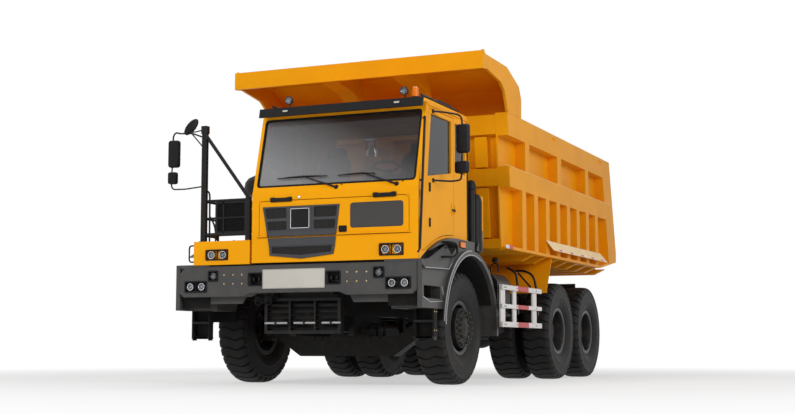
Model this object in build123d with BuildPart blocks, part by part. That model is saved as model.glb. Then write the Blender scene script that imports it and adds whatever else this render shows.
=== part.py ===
"""Mining dump truck, 6x4, with an offset cab, a canopied dump body and a front telescopic hoist.

Millimetres. +X is the truck's left, +Y its rear, +Z up. The origin is on the ground, under the middle of
the truck's bounding box, and X = 0 is the centre line of the chassis.
"""

import os

from build123d import *

os.makedirs("parts", exist_ok=True)

# ---------------------------------------------------------------- driving dimensions
# Overall
half_length = 4400          # foremost point to origin, and body tail to origin
body_half_width = 1927      # outer faces of the dump body's rails and posts
mirror_reach = 2120         # outer edge of the mirrors, both sides

# Wheels and axles
tyre_radius = 745
tyre_width = 425
rim_radius = 318            # bead seat of a 25 inch rim
rim_flange_radius = 362
rim_width = 286
front_axle_y = -2750
wheelbase = 3620            # front to middle axle
bogie_spread = 1620         # middle to rear axle
front_track_x = 1457        # centre plane of a front tyre
twin_inner_x = 1165         # centre planes of the twin tyres
twin_outer_x = 1720
kingpin_x = 1235
kingpin_radius = 35
front_spindle_radius = 55
rear_spindle_radius = 90
running_gap = 0.05          # radial clearance of shafts and pins in their bores
moving_gap = 8              # clearance between pieces that move past each other

# Chassis
rail_outer_x = 470
rail_width = 90
rail_bottom_z = 900
rail_top_z = 1250
rail_front_y = -4060
rail_overhang = 840         # rear axle to the rails' rear ends
tip_pivot_setback = 710     # rear axle to the body's tip pivot
tip_pivot_z = 1140
tip_pin_radius = 50
guard_arm_y = (-1140, -200)  # front faces of the arms that carry the side guards

# Cab
cab_right_x = -620
cab_left_x = 1700
cab_wall = 60
cab_front_y = -4372
cab_rear_y = -2660
cab_base_z = 1565
cab_floor_z = 1895
waist_z = 2540              # bottom of the windscreen
header_z = 3450             # top of the windscreen
roof_rise = 90              # top of the windscreen to the top of the walls
roof_thickness = 60
screen_lean = 230           # how far the windscreen's top stands behind its foot
door_rear_y = -3180
door_corner_radius = 90     # of the door's front foot, which would foul the sill if it were sharp
hinge_radius = 20
glass = 8

# Front
bumper_half_width = 1685
bumper_proud = 12           # the hatch's hinges stand this far in front of the bumper's face
bumper_depth = 218
bumper_bottom_z = 1140
bumper_top_z = 1530
fender_x = 1750
fender_inner_x = 1250
arch_lip_x = 1800
arch_radius = 950
arch_lip_radius = 1015
platform_x = (-1490, -650)
platform_z = (1555, 1865)
fence_y = -4325

# Dump body
body_plate = 25
side_plate_x = 1765         # outer face of the recessed side plates
floor_bottom_z = 1862
floor_plate = 38
top_rail_z = (3475, 3800)
waist_rail_z = (2745, 3040)
front_wall_foot_y = -1380
front_wall_top_y = -1520

# Hoist
hoist_foot = (0, -2150, 1010)
hoist_eye = (0, -2000, 3450)
hoist_barrel_radius = 125
hoist_stage_radius = 100
hoist_rod_radius = 75

middle_axle_y = front_axle_y + wheelbase
rear_axle_y = middle_axle_y + bogie_spread
bogie_centre_y = (middle_axle_y + rear_axle_y) / 2
rail_rear_y = rear_axle_y + rail_overhang
tip_pivot_y = rear_axle_y + tip_pivot_setback
front_y = -half_length + bumper_proud
cab_top_z = header_z + roof_rise
cab_x = (cab_right_x, cab_left_x)


# ---------------------------------------------------------------- helpers
def block(x, y, z, mode=Mode.ADD):
    """A box between the low and high values of each axis, in any order."""
    spans = [(min(pair), max(pair)) for pair in (x, y, z)]
    with Locations([tuple((low + high) / 2 for low, high in spans)]):
        Box(*[high - low for low, high in spans], mode=mode)


def side_prism(points, x_low, x_high, mode=Mode.ADD):
    """A polygon of (Y, Z) points, extruded from x_low to x_high."""
    with BuildSketch(Plane.YZ.offset(x_low)) as outline:
        with BuildLine():
            Polyline(*points, close=True)
        make_face()
    extrude(outline.sketch, amount=x_high - x_low, mode=mode)


def front_prism(points, y_low, y_high, mode=Mode.ADD):
    """A polygon of (X, Z) points, extruded from y_low to y_high."""
    with BuildSketch(Plane.XZ.offset(-y_low)) as outline:
        with BuildLine():
            Polyline(*points, close=True)
        make_face()
    extrude(outline.sketch, amount=y_low - y_high, mode=mode)


def rod(start, end, radius, mode=Mode.ADD):
    """A round bar between two points."""
    run = Vector(*end) - Vector(*start)
    with BuildSketch(Plane(origin=start, z_dir=run)) as circle:
        Circle(radius)
    extrude(circle.sketch, amount=run.length, mode=mode)


def turned(centre, points, mode=Mode.ADD):
    """A solid of revolution about the line along X through centre, from (X, radius) points."""
    with BuildSketch(Plane(origin=centre, x_dir=(1, 0, 0), z_dir=(0, -1, 0))) as outline:
        with BuildLine():
            Polyline(*points, close=True)
        make_face()
    revolve(outline.sketch, axis=Axis(centre, (1, 0, 0)), mode=mode)


def finish(piece, name):
    """Label a finished piece and write it to its own STEP file."""
    piece.part.label = name
    export_step(piece.part, f"parts/{name}.step")


def on_line(low, high, share):
    """The point a given share of the way from low to high."""
    return tuple(a + (b - a) * share for a, b in zip(low, high))


# ---------------------------------------------------------------- chassis
mount_rows = (-3985, -2760)  # Y of the cab's mounting beams
mount_beam_z = (1490, 1560)
# Y of the middle of each cross tube
cross_members = [-3970, -2400, -900, middle_axle_y - 720, bogie_centre_y, tip_pivot_y - 200]
with BuildPart() as chassis_frame:
    for side in (-1, 1):
        block((side * (rail_outer_x - rail_width), side * rail_outer_x),
              (rail_front_y, rail_rear_y), (rail_bottom_z, rail_top_z))
        for engine_mount_y in (-3600, -2650):
            block((side * 340, side * (rail_outer_x - rail_width)),
                  (engine_mount_y - 60, engine_mount_y + 60), (940, 1040))
        for arm_y in guard_arm_y:
            block((side * rail_outer_x, side * 1870), (arm_y, arm_y + 50), (1000, 1060))
        # Brackets of the bumper and of the fenders
        block((side * 400, side * 450), (front_y + bumper_depth, rail_front_y), (1160, 1240))
        block((side * rail_outer_x, side * fender_inner_x), (-4020, -3960), (1180, 1240))
        block((side * rail_outer_x, side * fender_inner_x), (-1835, -1795), (1000, 1060))
    for member_y in cross_members:
        block((-(rail_outer_x - rail_width), rail_outer_x - rail_width),
              (member_y - 70, member_y + 70), (rail_bottom_z + 60, rail_top_z - 60))
    # Foot of the hoist: two ears on the second cross member
    for side in (-1, 1):
        block((side * 145, side * 185), (cross_members[1] + 65, hoist_foot[1] + 90), (930, rail_top_z - 60))
    rod((-185, hoist_foot[1], hoist_foot[2]), (185, hoist_foot[1], hoist_foot[2]), 45)
    # Cab mounts: a beam over the engine on two posts, and two pillars up to the cab floor
    for mount_y in mount_rows:
        block((-500, cab_left_x - 550), (mount_y - 50, mount_y + 50), mount_beam_z)
        for side in (-1, 1):
            block((side * (rail_outer_x - rail_width), side * rail_outer_x), (mount_y - 50, mount_y + 50),
                  (rail_top_z, mount_beam_z[0]))
        for mount_x in (-450, cab_left_x - 630):
            block((mount_x - 50, mount_x + 50), (mount_y - 50, mount_y + 50),
                  (mount_beam_z[1], cab_floor_z))
    # Bearings of the body's tip pins, and the holes of the rear tow plate
    for side in (-1, 1):
        rod((side * (rail_outer_x - rail_width), tip_pivot_y, tip_pivot_z),
            (side * rail_outer_x, tip_pivot_y, tip_pivot_z), tip_pin_radius + running_gap, Mode.SUBTRACT)
    block((-rail_outer_x, rail_outer_x), (rail_rear_y, rail_rear_y + 40),
          (rail_bottom_z - 60, rail_top_z - 40))
    with BuildSketch(Plane.XZ.offset(-rail_rear_y)) as tow_holes:
        with Locations((0, 1000)):
            with GridLocations(320, 160, 2, 2):
                Circle(16)
    extrude(tow_holes.sketch, amount=-40, mode=Mode.SUBTRACT)
finish(chassis_frame, "chassis_frame")

with BuildPart() as engine_block:
    block((-340, 340), (-3890, -2480), (700, 1480))
finish(engine_block, "engine_block")

# ---------------------------------------------------------------- axles, springs, shaft
axle_beam_z = (370, 640)
with BuildPart() as front_axle:
    eye_z = (tyre_radius - 105, tyre_radius + 105)
    front_prism([(-700, axle_beam_z[0]), (700, axle_beam_z[0]), (1100, eye_z[0]), (kingpin_x, eye_z[0]),
                 (kingpin_x, eye_z[1]), (1050, eye_z[1]), (760, axle_beam_z[1]), (-760, axle_beam_z[1]),
                 (-1050, eye_z[1]), (-kingpin_x, eye_z[1]), (-kingpin_x, eye_z[0]), (-1100, eye_z[0])],
                front_axle_y - 110, front_axle_y + 110)
    for side in (-1, 1):
        eye = [(side * kingpin_x, front_axle_y, level) for level in eye_z]
        rod(*eye, 100)
        rod(*eye, kingpin_radius + running_gap, Mode.SUBTRACT)
finish(front_axle, "front_axle")

housing_radius = 130
housing_end_x = 930
with BuildPart() as rear_axles:
    for axle_y in (middle_axle_y, rear_axle_y):
        rod((-housing_end_x, axle_y, tyre_radius), (housing_end_x, axle_y, tyre_radius), housing_radius)
        rod((-twin_outer_x, axle_y, tyre_radius), (twin_outer_x, axle_y, tyre_radius), rear_spindle_radius)
        with Locations((0, axle_y, tyre_radius)):
            Sphere(270)
    rod((0, middle_axle_y, tyre_radius), (0, rear_axle_y, tyre_radius), 65)
finish(rear_axles, "rear_axles")

with BuildPart() as drive_shaft:
    rod((0, -2480, tyre_radius + 20), (0, middle_axle_y - 280, tyre_radius + 20), 60)
finish(drive_shaft, "drive_shaft")

with BuildPart() as leaf_springs:
    for side in (-1, 1):
        spring_x = (side * (rail_outer_x - rail_width), side * rail_outer_x)
        block(spring_x, (front_axle_y - 850, front_axle_y + 850), (axle_beam_z[1], axle_beam_z[1] + 45))
        block(spring_x, (front_axle_y - 620, front_axle_y + 620),
              (axle_beam_z[1] + 45, axle_beam_z[1] + 90))
        for end in (-1, 1):
            block(spring_x, (front_axle_y + end * 770, front_axle_y + end * 850),
                  (axle_beam_z[1] + 45, rail_bottom_z))
        pack_x = (side * (rail_outer_x + 20), side * (rail_outer_x + 140))
        block(pack_x, (middle_axle_y - 120, rear_axle_y + 120), (tyre_radius + housing_radius, 935))
        block(pack_x, (middle_axle_y + 260, rear_axle_y - 260), (935, 1010))
        block((side * rail_outer_x, pack_x[1]), (bogie_centre_y - 130, bogie_centre_y + 130), (1010, 1170))
finish(leaf_springs, "leaf_springs")

# ---------------------------------------------------------------- steering knuckles
def make_knuckle(side):
    """The fork that holds the kingpin, and the spindle that carries the front wheel."""
    with BuildPart() as knuckle:
        for level in (-1, 1):
            fork_z = (tyre_radius + level * (105 + moving_gap), tyre_radius + level * 165)
            block((side * (kingpin_x - 75), side * (kingpin_x + 130)),
                  (front_axle_y - 75, front_axle_y + 75), fork_z)
        block((side * (kingpin_x + 100 + moving_gap), side * (kingpin_x + 150)),
              (front_axle_y - 75, front_axle_y + 75), (tyre_radius - 165, tyre_radius + 165))
        rod((side * kingpin_x, front_axle_y, tyre_radius - 165),
            (side * kingpin_x, front_axle_y, tyre_radius + 165), kingpin_radius)
        rod((side * (kingpin_x + 120), front_axle_y, tyre_radius),
            (side * (front_track_x + 120), front_axle_y, tyre_radius), front_spindle_radius)
    return knuckle


knuckle_left = make_knuckle(1)
finish(knuckle_left, "knuckle_left")
knuckle_right = make_knuckle(-1)
finish(knuckle_right, "knuckle_right")


# ---------------------------------------------------------------- wheels
def tyre_ring(centre_x, axle_y):
    """One tyre as a ring with a cavity that the rim closes."""
    half, bead = tyre_width / 2, rim_width / 2
    heel = rim_flange_radius + 78
    widest = (rim_radius + tyre_radius) / 2 + 13.5
    flank, shoulder, crown = tyre_radius - 105, tyre_radius - 40, tyre_radius - 10
    turned((centre_x, axle_y, tyre_radius),
           [(-bead, rim_radius), (-bead, rim_flange_radius), (-half + 14, heel), (-half, widest),
            (-half + 8, flank), (-half + 24, shoulder), (-half + 52, crown), (-70, tyre_radius),
            (70, tyre_radius), (half - 52, crown), (half - 24, shoulder), (half - 8, flank),
            (half, widest), (half - 14, heel), (bead, rim_flange_radius), (bead, rim_radius),
            (bead - 34, rim_radius), (bead - 34, rim_flange_radius + 3), (half - 46, heel + 30),
            (half - 40, flank), (half - 70, shoulder - 10), (-half + 70, shoulder - 10),
            (-half + 40, flank), (-half + 46, heel + 30), (-bead + 34, rim_flange_radius + 3),
            (-bead + 34, rim_radius)])


def rim_barrel(centre_x, axle_y):
    """The barrel and the two flanges of one rim."""
    bead = rim_width / 2
    turned((centre_x, axle_y, tyre_radius),
           [(-bead, rim_radius), (bead, rim_radius), (bead, rim_flange_radius),
            (bead + 14, rim_flange_radius), (bead + 14, 296), (-bead - 14, 296),
            (-bead - 14, rim_flange_radius), (-bead, rim_flange_radius)])


def front_wheel(side):
    """The tyre and the rim, with hub, of one front wheel."""
    with BuildPart() as tyre:
        tyre_ring(side * front_track_x, front_axle_y)
    with BuildPart() as rim:
        rim_barrel(side * front_track_x, front_axle_y)
        hub_centre = (side * front_track_x, front_axle_y, tyre_radius)
        bore = front_spindle_radius + running_gap
        # (X from the tyre's centre plane, radius), outboard positive on the left
        turned(hub_centre, [(side * x, r) for x, r in
                            [(-45, bore), (122, bore), (122, 0.0), (165, 0.0), (165, 88),
                             (150, 105), (105, 112), (105, 215), (70, 240), (70, 296), (40, 296),
                             (40, 225), (75, 200), (75, 118), (-45, 118)]])
    return tyre, rim


def twin_wheel(side, axle_y):
    """The pair of tyres and the joined rims of one twin wheel."""
    with BuildPart() as tyres:
        for centre_x in (twin_inner_x, twin_outer_x):
            tyre_ring(side * centre_x, axle_y)
    with BuildPart() as rims:
        for centre_x in (twin_inner_x, twin_outer_x):
            rim_barrel(side * centre_x, axle_y)
        hub_centre = (0, axle_y, tyre_radius)
        bore = rear_spindle_radius + running_gap
        end = twin_outer_x + moving_gap
        turned(hub_centre, [(side * x, r) for x, r in
                            [(960, bore), (end, bore), (end, 0.0), (end + 40, 0.0), (end + 40, 120),
                             (1590, 140), (1590, 225), (1560, 225), (1560, 170), (960, 170)]])
        # The spacer drum between the rims and the disc that carries both
        turned(hub_centre, [(side * x, r) for x, r in
                            [(1300, 296), (1595, 296), (1595, 225), (1560, 225), (1560, 270), (1300, 270)]])
    return tyres, rims


for side, name in ((1, "left"), (-1, "right")):
    front_tyre, front_rim = front_wheel(side)
    finish(front_tyre, f"front_{name}_tyre")
    finish(front_rim, f"front_{name}_rim")
    for axle_name, axle_y in (("middle", middle_axle_y), ("rear", rear_axle_y)):
        twin_tyres, twin_rims = twin_wheel(side, axle_y)
        finish(twin_tyres, f"{axle_name}_{name}_tyres")
        finish(twin_rims, f"{axle_name}_{name}_rims")

# ---------------------------------------------------------------- front bumper and guard
lamp_rows = [  # low X, high X, low Z, high Z of each pair of bumper lamps
    (1105, 1255, 1340, 1480),
    (1270, 1610, 1200, 1350),
]
lamp_depth = 60
tow_pocket_x = (460, 650)
tow_pocket_z = (1283, 1430)
tow_pin_y = -4320
tow_pin_radius = 24
bumper_centre_z = 1182
with BuildPart() as front_bumper:
    front_prism([(-1600, bumper_top_z), (-bumper_half_width, 1450), (-bumper_half_width, 1190),
                 (-1620, bumper_bottom_z), (-735, bumper_bottom_z), (-640, bumper_centre_z),
                 (640, bumper_centre_z), (735, bumper_bottom_z),
                 (1620, bumper_bottom_z), (bumper_half_width, 1190), (bumper_half_width, bumper_top_z)],
                front_y, front_y + bumper_depth)
    # The bumper is a deep channel, open at the back between its end plates
    for open_x in ((-1560, -730), (730, 1560)):
        block(open_x, (front_y + 70, front_y + bumper_depth), (bumper_bottom_z + 45, bumper_top_z - 45),
              Mode.SUBTRACT)
    for side in (-1, 1):
        # Chin strip under the face
        front_prism([(side * 1480, bumper_bottom_z + 5), (side * 1380, 1050), (side * 800, 1050),
                     (side * 745, bumper_bottom_z + 5)], front_y + 90, front_y + 130)
        block((side * tow_pocket_x[0], side * tow_pocket_x[1]), (front_y, front_y + 160), tow_pocket_z,
              Mode.SUBTRACT)
        rod((side * 555, tow_pin_y, 1100), (side * 555, tow_pin_y, 1600), tow_pin_radius, Mode.SUBTRACT)
        for x_low, x_high, z_low, z_high in lamp_rows:
            block((side * x_low, side * x_high), (front_y, front_y + lamp_depth), (z_low, z_high),
                  Mode.SUBTRACT)
finish(front_bumper, "front_bumper")

guard_y = (front_y + bumper_depth + 20, front_y + bumper_depth + 110)
guard_z = (665, 1120)
with BuildPart() as radiator_guard:
    block((-545, 545), guard_y, guard_z)
    block((-505, 505), (guard_y[0], guard_y[0] + 60), (guard_z[0] + 40, guard_z[1] - 40), Mode.SUBTRACT)
    for row in range(5):
        slat_z = guard_z[0] + 75 + row * 76
        side_prism([(guard_y[0] + 6, slat_z), (guard_y[0] + 14, slat_z), (guard_y[0] + 64, slat_z + 36),
                    (guard_y[0] + 64, slat_z + 44)], -510, 510)
    for bar_x in (-180, 180):
        block((bar_x - 12, bar_x + 12), (guard_y[0], guard_y[0] + 64), guard_z)
finish(radiator_guard, "radiator_guard")

# ---------------------------------------------------------------- fenders and steps
arch_top_z = cab_floor_z - 3
# The arch that the cab's foot and the fender's top share: foot, middle and top as (Y, Z)
arch_line = [(cab_front_y + cab_wall, cab_base_z), (-3576, 1855), (-3107, arch_top_z)]
with BuildPart() as front_fenders:
    with BuildSketch(Plane.YZ.offset(fender_inner_x)) as fender_side:
        with BuildLine():
            Polyline((front_y + 10, 970), (front_y + 10, cab_base_z - 4), (arch_line[0][0], cab_base_z - 4))
            ThreePointArc((arch_line[0][0], cab_base_z - 4), arch_line[1],
                          (arch_line[2][0], arch_top_z - 2))
            Polyline((-3107, arch_top_z - 2), (-2535, arch_top_z - 2), (-2535, 1700), (front_axle_y, 970),
                     (front_y + 10, 970))
        make_face()
    extrude(fender_side.sketch, amount=fender_x - fender_inner_x)
    with BuildSketch(Plane.YZ.offset(fender_inner_x)) as arch_ring:
        with Locations((front_axle_y, tyre_radius)):
            Circle(arch_lip_radius)
        with Locations((front_axle_y, -700)):
            Rectangle(3000, 2 * 1345, mode=Mode.SUBTRACT)
    extrude(arch_ring.sketch, amount=arch_lip_x - fender_inner_x)
    with BuildSketch(Plane.YZ.offset(fender_inner_x)) as wheel_room:
        with Locations((front_axle_y, tyre_radius)):
            Circle(arch_radius)
    extrude(wheel_room.sketch, amount=arch_lip_x - fender_inner_x, mode=Mode.SUBTRACT)
    # Room for the bumper's end, and the ring stops ahead at the foot of the front panel
    block((fender_inner_x - 10, bumper_half_width + 5), (front_y, front_y + bumper_depth + 5),
          (900, bumper_top_z + 5),
          Mode.SUBTRACT)
    block((fender_inner_x, arch_lip_x), (front_y, front_axle_y), (600, 970), Mode.SUBTRACT)
    # Step pocket in the front panel, and the open foothold above the ledge
    block((fender_x - 200, fender_x), (-4320, -3780), (1090, 1245), Mode.SUBTRACT)
    with BuildSketch(Plane.YZ.offset(fender_x - 260)) as foothold:
        with BuildLine():
            Polyline((-4310, 1470), (-4310, 1600))
            ThreePointArc((-4310, 1600), (-3800, 1765), (-3250, 1840))
            Polyline((-3250, 1840), (-3190, 1780), (-3480, 1600), (-3700, 1470), (-4310, 1470))
        make_face()
        with Locations((front_axle_y, tyre_radius)):
            Circle(arch_lip_radius + 25, mode=Mode.SUBTRACT)
    extrude(foothold.sketch, amount=300, mode=Mode.SUBTRACT)
    mirror(about=Plane.YZ)
    # Room for the platform on the right
    block((platform_x[0] - 5, -fender_inner_x + 10), (front_y, -3740), (platform_z[0] - 5, 1900),
          Mode.SUBTRACT)
    block((platform_x[0] - 5, -fender_inner_x + 10), (-3750, -2500), (platform_z[1] - 40, 1900),
          Mode.SUBTRACT)
finish(front_fenders, "front_fenders")

step_x = (1475, 1745)
step_y = (-3990, -3880)
with BuildPart() as access_steps:
    for side in (-1, 1):
        for rail_x in (step_x[0], step_x[1] - 25):
            block((side * rail_x, side * (rail_x + 25)), (step_y[0] + 20, step_y[1] - 20), (580, 970))
        for tread_z in (600, 800):
            block((side * step_x[0], side * step_x[1]), step_y, (tread_z, tread_z + 30))
finish(access_steps, "access_steps")

# ---------------------------------------------------------------- platform on the right
platform_lamp = ((-1308, -968), (1615, 1756))
with BuildPart() as platform_box:
    block(platform_x, (cab_front_y, -3750), platform_z)
    block((platform_x[0] + 40, platform_x[1] - 40), (cab_front_y + 60, -3750),
          (platform_z[0], platform_z[1] - 40),
          Mode.SUBTRACT)
    block(platform_x, (-3750, cab_rear_y), (platform_z[1] - 35, platform_z[1]))
    block(platform_lamp[0], (cab_front_y, cab_front_y + 60), platform_lamp[1], Mode.SUBTRACT)
    # Posts down to the cab's mounting beams
    for post_y in mount_rows:
        block((-700, -660), (post_y - 40, post_y + 40), (mount_beam_z[1], platform_z[1] - 35))
        block((-700, -500), (post_y - 40, post_y + 40), mount_beam_z)
finish(platform_box, "platform_box")

rail_radius = 22
fence_x = (-1370, -700)
pole_top_z = 3400
right_mirror_y = -4060
with BuildPart() as platform_rails:
    for rail_z in (1970, 2180, 2400):
        rod((fence_x[0], fence_y, rail_z), (fence_x[1], fence_y, rail_z), rail_radius)
        rod((fence_x[0], fence_y, rail_z), (fence_x[0], fence_y + 330, rail_z), rail_radius)
    for post_x, post_y, radius, top in ((fence_x[0], fence_y, 42, pole_top_z),
                                        (fence_x[1], fence_y, 28, 2430),
                                        (fence_x[0], fence_y + 330, 27, 2430)):
        rod((post_x, post_y, platform_z[1]), (post_x, post_y, top), radius)
    rod((fence_x[0], fence_y, 3290), (fence_x[1], fence_y, 2425), 25)
    # Mirror arms and heads: centre X, centre Z, half width, half height
    for arm_z in (3330, 2760):
        rod((fence_x[0], fence_y, arm_z), (-mirror_reach + 90, right_mirror_y, arm_z), 15)
    rod((-mirror_reach + 90, right_mirror_y, 2700), (-mirror_reach + 90, right_mirror_y, 3330), 15)
    for centre_z, half_height in ((3100, 195), (2755, 85)):
        block((-mirror_reach, -mirror_reach + 180), (right_mirror_y - 55, right_mirror_y - 5),
              (centre_z - half_height, centre_z + half_height))
        block((-mirror_reach + 70, -mirror_reach + 110), (right_mirror_y - 30, right_mirror_y + 10),
              (centre_z - 30, centre_z + 30))
finish(platform_rails, "platform_rails")

with BuildPart() as air_cleaner:
    rod((-1250, -2990, platform_z[1]), (-1250, -2990, 2560), 160)
    rod((-1250, -2990, 2560), (-1250, -2990, 2700), 70)
    rod((-1250, -2990, 2700), (-1250, -2990, 2900), 130)
finish(air_cleaner, "air_cleaner")

# ---------------------------------------------------------------- cab
pillar_foot_y = cab_front_y + 30
pillar_depth = 90
screen_slope = screen_lean / (header_z - waist_z)
roof_front_y = pillar_foot_y + screen_slope * (cab_top_z - waist_z)
hatch_x = (cab_right_x + 110, cab_left_x - 125)
hatch_z = (1890, 2350)
cab_lamp = ((cab_left_x - 523, cab_left_x - 194), (1613, 1765))
cab_wall_y = cab_front_y + cab_wall
hatch_hinge = (cab_front_y - 8, hatch_z[1] + 6)      # Y and Z of the hatch's hinge line
hatch_hinge_x = ((cab_right_x + 276, cab_right_x + 576), (cab_left_x - 598, cab_left_x - 296))
door_front_y = cab_wall_y + moving_gap
door_hinge_y = door_front_y - 4
door_hinge_radius = 13
hinge_left_x = cab_left_x + 6
hinge_right_x = cab_right_x - 6
# X of each hinge line, and low and high Z of each barrel on it
door_hinges = [(hinge_x, barrel_z) for hinge_x in (hinge_left_x, hinge_right_x)
               for barrel_z in ((1960, 2040), (2330, 2410))]
with BuildPart() as cab_front:
    side_prism([(cab_front_y, cab_base_z), (cab_front_y, 2447), (pillar_foot_y, waist_z),
                (cab_wall_y, waist_z),
                (cab_wall_y, cab_base_z)], *cab_x)
    block((hatch_x[0] - moving_gap, hatch_x[1] + moving_gap), (cab_front_y, cab_wall_y),
          (hatch_z[0] - moving_gap, hatch_z[1] + moving_gap), Mode.SUBTRACT)
    block(cab_lamp[0], (cab_front_y, cab_wall_y), cab_lamp[1], Mode.SUBTRACT)
    for barrel_x in hatch_hinge_x:
        rod((barrel_x[0] - moving_gap, *hatch_hinge), (barrel_x[1] + moving_gap, *hatch_hinge),
            hinge_radius + moving_gap, Mode.SUBTRACT)
    for hinge_x, barrel_z in door_hinges:
        rod((hinge_x, door_hinge_y, barrel_z[0] - moving_gap),
            (hinge_x, door_hinge_y, barrel_z[1] + moving_gap),
            door_hinge_radius + moving_gap, Mode.SUBTRACT)
    for pillar_x in ((cab_right_x, cab_right_x + cab_wall), (cab_left_x - cab_wall, cab_left_x)):
        side_prism([(pillar_foot_y, waist_z), (roof_front_y, cab_top_z),
                    (roof_front_y + pillar_depth, cab_top_z),
                    (pillar_foot_y + pillar_depth, waist_z), (cab_wall_y, 2440),
                    (cab_wall_y - 5, 2440)], *pillar_x)
    header_foot_y = pillar_foot_y + screen_slope * (header_z - waist_z)
    side_prism([(header_foot_y, header_z), (roof_front_y, cab_top_z),
                (roof_front_y + pillar_depth, cab_top_z),
                (header_foot_y + pillar_depth, header_z)], *cab_x)
finish(cab_front, "cab_front")

sill_height = 35                         # of the left wall under its door, above the arch
right_door_foot_z = platform_z[1] + 35   # the right door's foot, above the platform
door_top_z = header_z + 20
window_top_z = header_z - 30
door_gap = moving_gap
window_rows = {  # corner: (Y, Z)
    "front foot": (-4070, 2610), "front top": (-3950, window_top_z), "rear top": (-3250, window_top_z),
    "rear foot": (-3250, 2740),
}
quarter_window = ((-3120, -2750), (2770, window_top_z))


def door_outline(grow, foot_z):
    """(Y, Z) corners of a door, grown by a gap on all sides."""
    slope_y = pillar_foot_y + pillar_depth + moving_gap - grow
    return [(door_front_y - grow, foot_z - grow), (door_front_y - grow, 2440), (slope_y, waist_z),
            (slope_y + screen_slope * (door_top_z - waist_z), door_top_z + grow),
            (door_rear_y + grow, door_top_z + grow), (door_rear_y + grow, foot_z - grow)]


def above_arch(rise, x_low, x_high, points, corner_radius=0):
    """A side prism of (Y, Z) points, ended below by the fender's arch raised by rise.

    The lowest corner is rounded if it is given a radius.
    """
    low_z = arch_line[0][1] - 100
    with BuildSketch(Plane.YZ.offset(x_low)) as outline:
        with BuildLine():
            Polyline(*points, close=True)
        make_face()
        with BuildLine():
            foot, middle, top = [(y, z + rise) for y, z in arch_line]
            Polyline((cab_rear_y + 200, low_z), (front_y, low_z), (front_y, foot[1]), foot)
            ThreePointArc(foot, middle, top)
            Polyline(top, (cab_rear_y + 200, top[1]), (cab_rear_y + 200, low_z))
        make_face(mode=Mode.SUBTRACT)
        if corner_radius:
            fillet(outline.vertices().sort_by(Axis.Y)[0], corner_radius)
    return extrude(outline.sketch, amount=x_high - x_low, mode=Mode.PRIVATE)


with BuildPart() as cab_sides:
    # Left wall: its foot follows the arch of the fender, and a sill closes it under the door
    left_wall = above_arch(3, cab_left_x - cab_wall, cab_left_x,
                           [(cab_wall_y, cab_base_z - 10), (cab_wall_y, 2440),
                            (pillar_foot_y + pillar_depth, waist_z),
                            (roof_front_y + pillar_depth, cab_top_z), (cab_rear_y, cab_top_z),
                            (cab_rear_y, cab_base_z - 10)])
    left_opening = above_arch(sill_height, cab_left_x - cab_wall, cab_left_x,
                              door_outline(door_gap, cab_base_z),
                              door_corner_radius + door_gap)
    add(left_wall)
    add(left_opening, mode=Mode.SUBTRACT)
    # Right wall
    side_prism([(cab_wall_y, platform_z[1] + 10), (cab_wall_y, 2440),
                (pillar_foot_y + pillar_depth, waist_z),
                (roof_front_y + pillar_depth, cab_top_z), (cab_rear_y, cab_top_z),
                (cab_rear_y, platform_z[1] + 10)],
               cab_right_x, cab_right_x + cab_wall)
    side_prism(door_outline(door_gap, right_door_foot_z), cab_right_x, cab_right_x + cab_wall,
               Mode.SUBTRACT)
    for wall_x in ((cab_right_x, cab_right_x + cab_wall), (cab_left_x - cab_wall, cab_left_x)):
        block(wall_x, quarter_window[0], quarter_window[1], Mode.SUBTRACT)
finish(cab_sides, "cab_sides")

inner_x = (cab_right_x + cab_wall, cab_left_x - cab_wall)
rear_window = ((cab_right_x + 370, cab_left_x - 370), (2800, header_z - 70))
with BuildPart() as cab_rear:
    block(inner_x, (cab_rear_y - cab_wall, cab_rear_y), (cab_floor_z + 60, cab_top_z))
    block(rear_window[0], (cab_rear_y - cab_wall, cab_rear_y), rear_window[1], Mode.SUBTRACT)
finish(cab_rear, "cab_rear")

with BuildPart() as cab_roof:
    side_prism([(roof_front_y - 40, cab_top_z), (roof_front_y + 20, cab_top_z + roof_thickness),
                (cab_rear_y - 30, cab_top_z + roof_thickness), (cab_rear_y + 20, cab_top_z)],
               cab_right_x, cab_left_x)
    fillet(cab_roof.edges().filter_by(Axis.Y).group_by(Axis.Z)[-1], 45)
    # Sun visor across the front, on two brackets
    for bracket_x in (cab_right_x + 320, cab_left_x - 320):
        block((bracket_x - 20, bracket_x + 20), (-4215, roof_front_y), (cab_top_z + 8, cab_top_z + 38))
    side_prism([(-4260, header_z + 20), (-4235, header_z + 135), (-4205, header_z + 135),
                (-4225, header_z + 20)],
               cab_right_x + 20, cab_left_x + 10)
finish(cab_roof, "cab_roof")

with BuildPart() as cab_floor:
    block(inner_x, (cab_wall_y, cab_rear_y), (cab_floor_z, cab_floor_z + 60))
finish(cab_floor, "cab_floor")

with BuildPart() as cab_windows:
    side_prism([(pillar_foot_y + 14, waist_z), (header_foot_y + 14, header_z),
                (header_foot_y + 14 + glass, header_z),
                (pillar_foot_y + 14 + glass, waist_z)], *inner_x)
    for centre_x in (cab_right_x + cab_wall / 2, cab_left_x - cab_wall / 2):
        block((centre_x - glass / 2, centre_x + glass / 2), quarter_window[0], quarter_window[1])
    block(rear_window[0], (cab_rear_y - cab_wall / 2, cab_rear_y - cab_wall / 2 + glass), rear_window[1])
finish(cab_windows, "cab_windows")

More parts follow.
